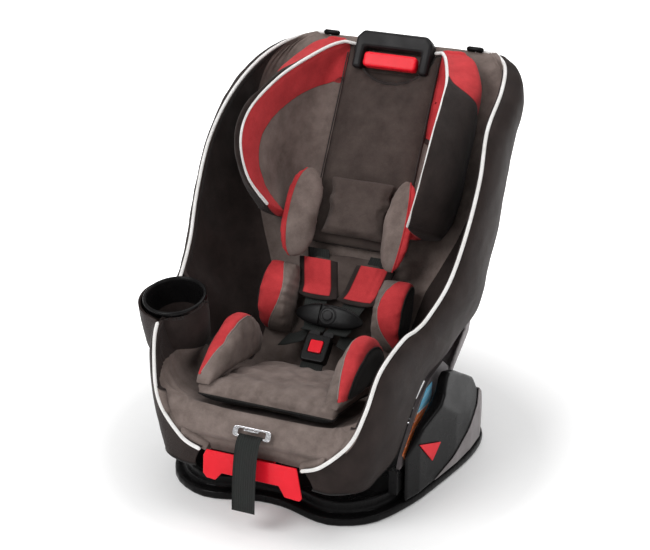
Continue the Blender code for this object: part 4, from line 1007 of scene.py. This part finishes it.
def harness_pad(side_name, side):
    """A pad round the shoulder strap: red cloth with a wide dark binding and two stitched lines."""
    i, j = np.linspace(-1, 1, 50), np.linspace(0, 1, 70)
    i, j = i[:, None], j[None, :]
    s = PAD_LOW + PAD_LENGTH * j + 0.006 * smoothstep(0.25, 0.0, j) * np.abs(i) ** 3
    x = (0.034 + 0.016 * j + i * PAD_HALF) * side
    edge = np.minimum(np.minimum(1 - i, 1 + i) * PAD_FLAT_HALF,
                      np.minimum(j, 1.2 - j) * PAD_LENGTH)
    proud = 0.0050 + 0.0070 * (1 - np.exp(-np.maximum(edge, 0) / 0.006))
    quilt = np.minimum(np.abs(i - 0.28), np.abs(i - 0.36)) * PAD_FLAT_HALF
    proud = proud - 0.0008 * np.exp(-(quilt / 0.0010) ** 2)
    front = back(x, s, strap_depth(s) + proud)
    rear = back(x, s, strap_depth(s) + 0.0022)
    if side < 0:
        front, rear = front[::-1], rear[::-1]
        edge = edge[::-1]
    made = closed_skin("shoulder_pad_" + side_name, front, rear, PAD_CLOTH)
    mark(made, "binding",
         np.concatenate([(PAD_BINDING - edge).ravel(), np.full(edge.size, PAD_BINDING)]))
    put(made, "headrest", "harness_pad_" + side_name, slot="red_fabric", fill=0.5)


for side_name, side in SIDES:
    harness_pad(side_name, side)

padded_pieces = [cushion, lumbar, pillow, *seat_bolsters.values(), *back_bolsters.values(),
                 *lobes.values()]
settle(padded_pieces, pressure=9.0, cap=0.009)

for side_name, side in SIDES:
    finish_bolster(seat_bolsters[side_name], side, PAN_AXES, (0.030, 0.012), 0.236, "seat",
                   "seat_bolster_" + side_name, (0.03, 0.12))
    finish_bolster(back_bolsters[side_name], side, BACK_AXES, (0.042, -0.004), 0.182, "seat",
                   "back_bolster_" + side_name, (0.08, 0.16))


def finish_cushion():
    """The seat pad: puckers along its front seam, a dark gusset below it and piping between."""
    local = in_frame(coords(cushion), BIGHT, PAN_AXES)
    x, q, h = local.T
    half = seat_width(np.clip((q - 0.018) / 0.22, 0, 1))
    edge = np.minimum(0.240 - q, half + 0.004 - np.abs(x))
    pucker = np.sin(x * 210 + 2 * ripple(local, 25, 41)) * np.exp(-np.abs(0.232 - q) / 0.020)
    dimples = 0.0040 * ripple(local * (1, 1, 0), 20.0,
                              42) + 0.0026 * ripple(local * (1, 1, 0), 52.0, 43)
    above = smoothstep(-0.012, -0.003, h)
    puff = 0.006 * (1 - np.exp(-np.maximum(edge, 0) / 0.018))
    facing = normals(cushion)
    set_coords(cushion, coords(cushion)
               + facing * ((0.0042 * pucker + 1.3 * dimples + puff) * above)[:, None])
    seam = -0.0150 - h
    mark(cushion, "gusset", np.where(edge < 0.03, seam, -0.01))
    put(cushion, "seat", "seat_cushion", slot="taupe_suede", fill=0.8)
    lines = []
    for line in contour(cushion, seam):
        spot = in_frame(line, BIGHT, PAN_AXES)
        piece = line[spot[:, 1] > 0.03]
        if len(piece) > 40:
            cut = np.argmax(np.linalg.norm(np.diff(piece, axis=0), axis=1))
            piece = np.roll(piece, -(cut + 1), axis=0)
            lines.append(evened(piece, 0.003))
    if lines:
        put(joined("seat_pad_piping",
                   [tube("cord", line, 0.0016, PIPING_BLACK, 8) for line in lines]), "seat",
            slot="dark_satin")


finish_cushion()
for made, node, body, slot_name in ((lumbar, "back_pad", "seat", "taupe_suede"),
                                    (pillow, "head_pillow", "headrest", "taupe_suede")):
    set_coords(made, coords(made)
               + normals(made) * (0.0016 * ripple(coords(made), 24.0, 51))[:, None])
    put(made, body, node, slot=slot_name, fill=0.6)
for side_name, side in SIDES:
    made = lobes[side_name]
    local = in_frame(coords(made), BIGHT, BACK_AXES) - (LOBE_CENTRE[0] * side, LOBE_CENTRE[1],
                                                        LOBE_CENTRE[2])
    across = local[:, 0] * side * math.cos(LOBE_LEAN) + local[:, 2] * math.sin(LOBE_LEAN)
    proud = -local[:, 0] * side * math.sin(LOBE_LEAN) + local[:, 2] * math.cos(LOBE_LEAN)
    out = 0.014 - across + 1.1 * proud - 0.008 * (local[:, 1] / LOBE_HALF[1]) ** 2
    set_coords(made, coords(made)
               + normals(made) * (0.0013 * ripple(coords(made), 26.0, 61 + side))[:, None])
    mark(made, "flank", -out)
    put(made, "headrest", "pillow_lobe_" + side_name, slot="red_fabric", fill=0.7)
    rim = [evened(line, 0.003) for line in contour(made, out) if len(line) > 40]
    put(joined("pillow_piping_" + side_name,
               [tube("cord", line, 0.0013, PIPING_RED, 8) for line in rim]), "headrest",
        slot="red_fabric")


# ---- Straps: ribbons with a UV map that runs along them in metres ----
WEB_WIDTH, WEB_THICK = 0.038, 0.0016


def strap(name, middle, across, up, width=WEB_WIDTH, thick=WEB_THICK, closed=True):
    """A strap along the middle line; across and up are its unit directions at each point."""
    profile = np.array([(-1, 0.0), (-0.96, 0.5), (0, 0.55), (0.96, 0.5), (1, 0.0), (0.96, -0.5),
                        (0, -0.55),
                        (-0.96, -0.5)])
    dense = np.concatenate([np.linspace(profile[k], profile[(k + 1) % 8], 5)[:-1]
                            for k in range(8)])
    if not closed:
        dense = dense[:17]            # one layer: the face and its two turned edges
    points = (middle[:, None] + across[:, None] * dense[None, :, :1] * width / 2
              + up[:, None] * dense[None, :, 1:] * thick)
    made = surface(name, points, WEBBING, wrap=closed)
    rows, columns = points.shape[:2]
    run = lengths(middle)
    layer = made.data.uv_layers.new(name="UVMap")
    place = np.stack([np.tile((dense[:, 0] + 1) / 2, rows), np.repeat(run, columns)], -1)
    for face in made.data.polygons:
        for loop in face.loop_indices:
            layer.data[loop].uv = place[made.data.loops[loop].vertex_index]
    return made


def unit(vectors):
    """The vectors at length 1."""
    return vectors / np.linalg.norm(vectors, axis=-1, keepdims=True)


def along_route(route, count):
    """Points on a smooth line through a route's points."""
    route = np.asarray(route, float)
    return evened(spline(route, np.linspace(0, len(route) - 1, count)), 0.004)


SHOULDER_ROUTE = ((0.0205, 0.0550, 0.0400), (0.0205, 0.0595, 0.0320), (0.0215, 0.0640, 0.0255),
                  (0.0235, 0.0700, 0.0237))
HIP_ROUTE = ((0.0275, 0.049, 0.036), (0.045, 0.043, 0.027), (0.063, 0.038, 0.014),
             (0.079, 0.036, 0.002))
for side_name, side in SIDES:
    high = [(0.026 + 0.26 * (s - 0.08), s, strap_depth(s)) for s in np.linspace(0.080, 0.193, 16)]
    line = along_route([*SHOULDER_ROUTE, *high], 80)
    middle = back(line[:, 0] * side, line[:, 1], line[:, 2])
    ahead = unit(np.gradient(middle, axis=0))
    up = unit(np.cross(np.broadcast_to(ACROSS, ahead.shape), ahead))
    shoulder = strap("shoulder_webbing_" + side_name, middle, np.broadcast_to(ACROSS, ahead.shape),
                     up)
    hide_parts("shoulder_strap_" + side_name)
    back(0, 0.10, 0).tolist()
    back(0, 0.18, 0).tolist()
    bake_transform(shoulder)
    line = along_route(HIP_ROUTE, 30)
    middle = back(line[:, 0] * side, line[:, 1], line[:, 2])
    ahead = unit(np.gradient(middle, axis=0))
    up = np.broadcast_to(unit(BACK_OUT + BACK_UP * 0.8 + ACROSS * 0.3 * side), ahead.shape)
    up = unit(up - ahead * (up * ahead).sum(1, keepdims=True))
    hip = strap("hip_webbing_" + side_name, middle, unit(np.cross(ahead, up)), up, width=0.030)
    put(hip, "seat", "hip_strap_" + side_name, slot="webbing")

BUCKLE_LEAN, BUCKLE_FOOT = math.atan2(0.036, 0.054), 0.0237


def buckle(a, b, c):
    """A point on the buckle: a across, b along it upwards and c out of its face."""
    sine, cosine = math.sin(BUCKLE_LEAN), math.cos(BUCKLE_LEAN)
    return pan(a, 0.041 - sine * b + cosine * c, 0.040 + cosine * b + sine * c)


crotch_line = along_route([pan(0, 0.0760, 0.0085), pan(0, 0.0690, 0.0110), buckle(0, -0.034, 0.0),
                           buckle(0, -BUCKLE_FOOT, 0.0)], 20)
ahead = unit(np.gradient(crotch_line, axis=0))
sideways = np.broadcast_to(ACROSS, ahead.shape)
put(strap("crotch_webbing", crotch_line, sideways, unit(np.cross(ahead, sideways)) * -1,
          thick=0.0020), "seat",
    "crotch_strap", slot="webbing")

TAIL_ROUTE = ((-0.2722, 0.1522), (-0.2790, 0.1510), (-0.2870, 0.1455), (-0.2935, 0.1330),
              (-0.2990, 0.1130),
              (-0.3035, 0.0850), (-0.3060, 0.0550), (-0.3070, 0.0385))
tail_line = along_route([(0.0, y, z) for y, z in TAIL_ROUTE], 60)
ahead = unit(np.gradient(tail_line, axis=0))
sideways = np.broadcast_to(ACROSS, ahead.shape)
tail = strap("adjuster_tail", tail_line, sideways, unit(np.cross(sideways, ahead)), thick=0.0019,
             closed=False)
put(tail, "seat", "adjuster_strap", slot="webbing")

# ---- Cup holder: a smooth cup with a rolled lip, and cloth round its housing ----


def turned(name, profile, centre, axes, finish, steps=96):
    """A solid of revolution through (radius, height) pairs, closed at both ends of its profile."""
    turn = np.linspace(0, 2 * math.pi, steps, endpoint=False)
    line = evened([(r, 0.0, h) for r, h in profile], 0.0012)
    local = np.stack([line[:, :1] * np.cos(turn), line[:, :1] * np.sin(turn),
                      np.broadcast_to(line[:, 2:], (len(line), steps))], -1)
    return capped(surface(name, centre + local @ axes, finish, wrap=True), steps)


CUP_PROFILE = ((0.001, -0.0835), (0.0365, -0.0835), (0.0390, -0.060), (0.0420, -0.025),
               (0.0435, -0.0030),
               (0.0490, -0.0028), (0.0512, -0.0005), (0.0508, 0.0030), (0.0488, 0.0052),
               (0.0460, 0.0056),
               (0.0432, 0.0040), (0.0418, 0.0005), (0.0395, -0.025), (0.0370, -0.055),
               (0.0345, -0.0805),
               (0.001, -0.0812))
cup = turned("cup", CUP_PROFILE, CUP_CENTRE, CUP_AXES, BLACK_PLASTIC)
put(cup, "cup", "cup_liner", slot="black_plastic")
HOUSING_PROFILE = ((0.001, -0.0885), (0.0370, -0.0885), (0.0385, -0.086), (0.0460, -0.014),
                   (0.0490, -0.0065),
                   (0.0495, -0.0040), (0.0448, -0.0036), (0.0385, -0.0845), (0.001, -0.0845))
housing = turned("cup_sleeve", HOUSING_PROFILE, CUP_CENTRE, CUP_AXES, COVER_CLOTH)
put(housing, "seat", "cup_housing", slot="dark_satin")


# ---- Chest clip: two tapering halves round a ringed boss ----
CLIP_MIDDLE, CLIP_DEPTH = 0.084, 0.0305
CLIP_REACH, CLIP_STEPS = 0.058, 40


def rounded_box(value):
    """A sine or cosine pushed outwards, so that a circle becomes a rounded box."""
    return np.sign(value) * np.abs(value) ** 0.55


def clip_half(name, node, low, high):
    """Half of the chest clip, as rounded sections from x low to x high."""
    x = low + (high - low) * np.sin(np.linspace(0, math.pi / 2, CLIP_STEPS))
    tip = np.sqrt(np.maximum(1 - (np.abs(x) / 0.0585) ** 6, 0.02))
    tall = (0.0185 - 0.0085 * (np.abs(x) / CLIP_REACH) ** 2) * tip
    thick = (0.0058 - 0.0016 * (np.abs(x) / CLIP_REACH) ** 2) * tip
    turn = np.linspace(0, 2 * math.pi, CLIP_STEPS, endpoint=False)
    s = CLIP_MIDDLE - 0.10 * np.abs(x[:, None]) ** 1.4 + tall[:, None] * rounded_box(np.cos(turn))
    d = CLIP_DEPTH - 1.2 * x[:, None] ** 2 + thick[:, None] * rounded_box(np.sin(turn))
    made = surface(name, back(x[:, None], s, d), BLACK_PLASTIC, wrap=True)
    put(capped(made, CLIP_STEPS), "seat", node, slot="black_plastic")


clip_half("clip_half_left", "chest_clip_left", -0.0135, CLIP_REACH)
clip_half("clip_half_right", "chest_clip_right", -0.0143, -CLIP_REACH)
RING_PROFILE = ((0.0108, 0.0), (0.0112, 0.0022), (0.0130, 0.0030), (0.0150, 0.0022), (0.0156, 0.0))
put(turned("clip_ring", RING_PROFILE, back(0.0, CLIP_MIDDLE, 0.0350), BACK_AXES, GRIP_PLASTIC),
    "seat",
    slot="black_plastic")

# ---- Clips that end the rim piping at the top ----
for side_name, side in SIDES:
    ends = [TOP_END * (side, 1, 1) + np.array((k * side, 0.001, 0.002))
            for k in (-0.012, 0.0, 0.010)]
    put(tube("rim_clip_" + side_name, ends, 0.0046, BLACK_PLASTIC, 12), "seat",
        slot="black_plastic")

# ---- Stage ----
def stage():
    """The floor, the lamps, the white surroundings and the camera."""
    floor = bpy.data.meshes.new("floor")
    size = 6.0
    floor.from_pydata([(-size, -size, 0), (size, -size, 0), (size, size, 0), (-size, size, 0)], [],
                      [(0, 1, 2, 3)])
    ground = linked("floor", floor, STAGE_FINISH)
    world = bpy.data.worlds.new("studio")
    bpy.context.scene.world = world
    world.use_nodes = True
    background = world.node_tree.nodes["Background"]
    background.inputs["Color"].default_value = (1.0, 1.0, 1.0, 1.0)
    seen_directly = world.node_tree.nodes.new("ShaderNodeLightPath").outputs["Is Camera Ray"]
    strength = world.node_tree.nodes.new("ShaderNodeMapRange")
    strength.inputs["To Min"].default_value = WORLD_LIGHT
    strength.inputs["To Max"].default_value = 1.0
    world.node_tree.links.new(seen_directly, strength.inputs["Value"])
    world.node_tree.links.new(strength.outputs["Result"], background.inputs["Strength"])
    for name, place, aim, power, width in LIGHTS:
        lamp = bpy.data.lights.new(name, "AREA")
        lamp.energy, lamp.size = power, width
        holder = bpy.data.objects.new(name, lamp)
        bpy.context.scene.collection.objects.link(holder)
        holder.location = place
        holder.rotation_euler = (Vector(aim) - Vector(place)).to_track_quat("-Z", "Y").to_euler()
    camera = bpy.data.objects.new("camera", bpy.data.cameras.new("camera"))
    bpy.context.scene.collection.objects.link(camera)
    camera.location = CAMERA_PLACE
    camera.rotation_euler = (Vector(CAMERA_AIM)
                             - Vector(CAMERA_PLACE)).to_track_quat("-Z", "Y").to_euler()
    camera.data.lens, camera.data.sensor_width = 96.92, 36.0
    bpy.context.scene.camera = camera
    bpy.context.scene.view_settings.view_transform = "Standard"


def glowing_floor():
    """A bright studio floor that glows as painted light: faintly near the seat, so that a shadow
    still shows under it, and fully farther out, where it fades to white.
    """
    shader = Shader("stage_floor", 0.9, specular=0.0)
    glow = shader.surface.inputs
    away = shader.add("ShaderNodeVectorMath", {0: shader.place},
                      operation="LENGTH").outputs["Value"]
    # painted light: the floor's glow rises from 0.12 near the seat to 1.0 farther out
    shader.tree.links.new(shader.spread(away, 0.35, 0.75, 0.12, 1.0), glow["Emission Strength"])
    glow["Emission Color"].default_value = (1.0, 1.0, 1.0, 1.0)
    return shader.finish(shader.mix(shader.noise(40.0), (0.86, 0.86, 0.86), (0.88, 0.88, 0.88)))


STAGE_FINISH = glowing_floor()
WORLD_LIGHT = 0.38
LIGHTS = (("key", (-1.2, -2.2, 2.6), (0.0, 0.0, 0.3), 60.0, 1.6),
          ("fill", (2.4, -1.6, 1.6), (0.0, 0.0, 0.3), 9.0, 1.8),
          ("top", (0.2, 0.6, 2.8), (0.0, 0.0, 0.3), 48.0, 2.5))
CAMERA_PLACE, CAMERA_AIM = (0.9957, -2.3064, 1.4178), (0.0, 0.0, 0.2992)
stage()
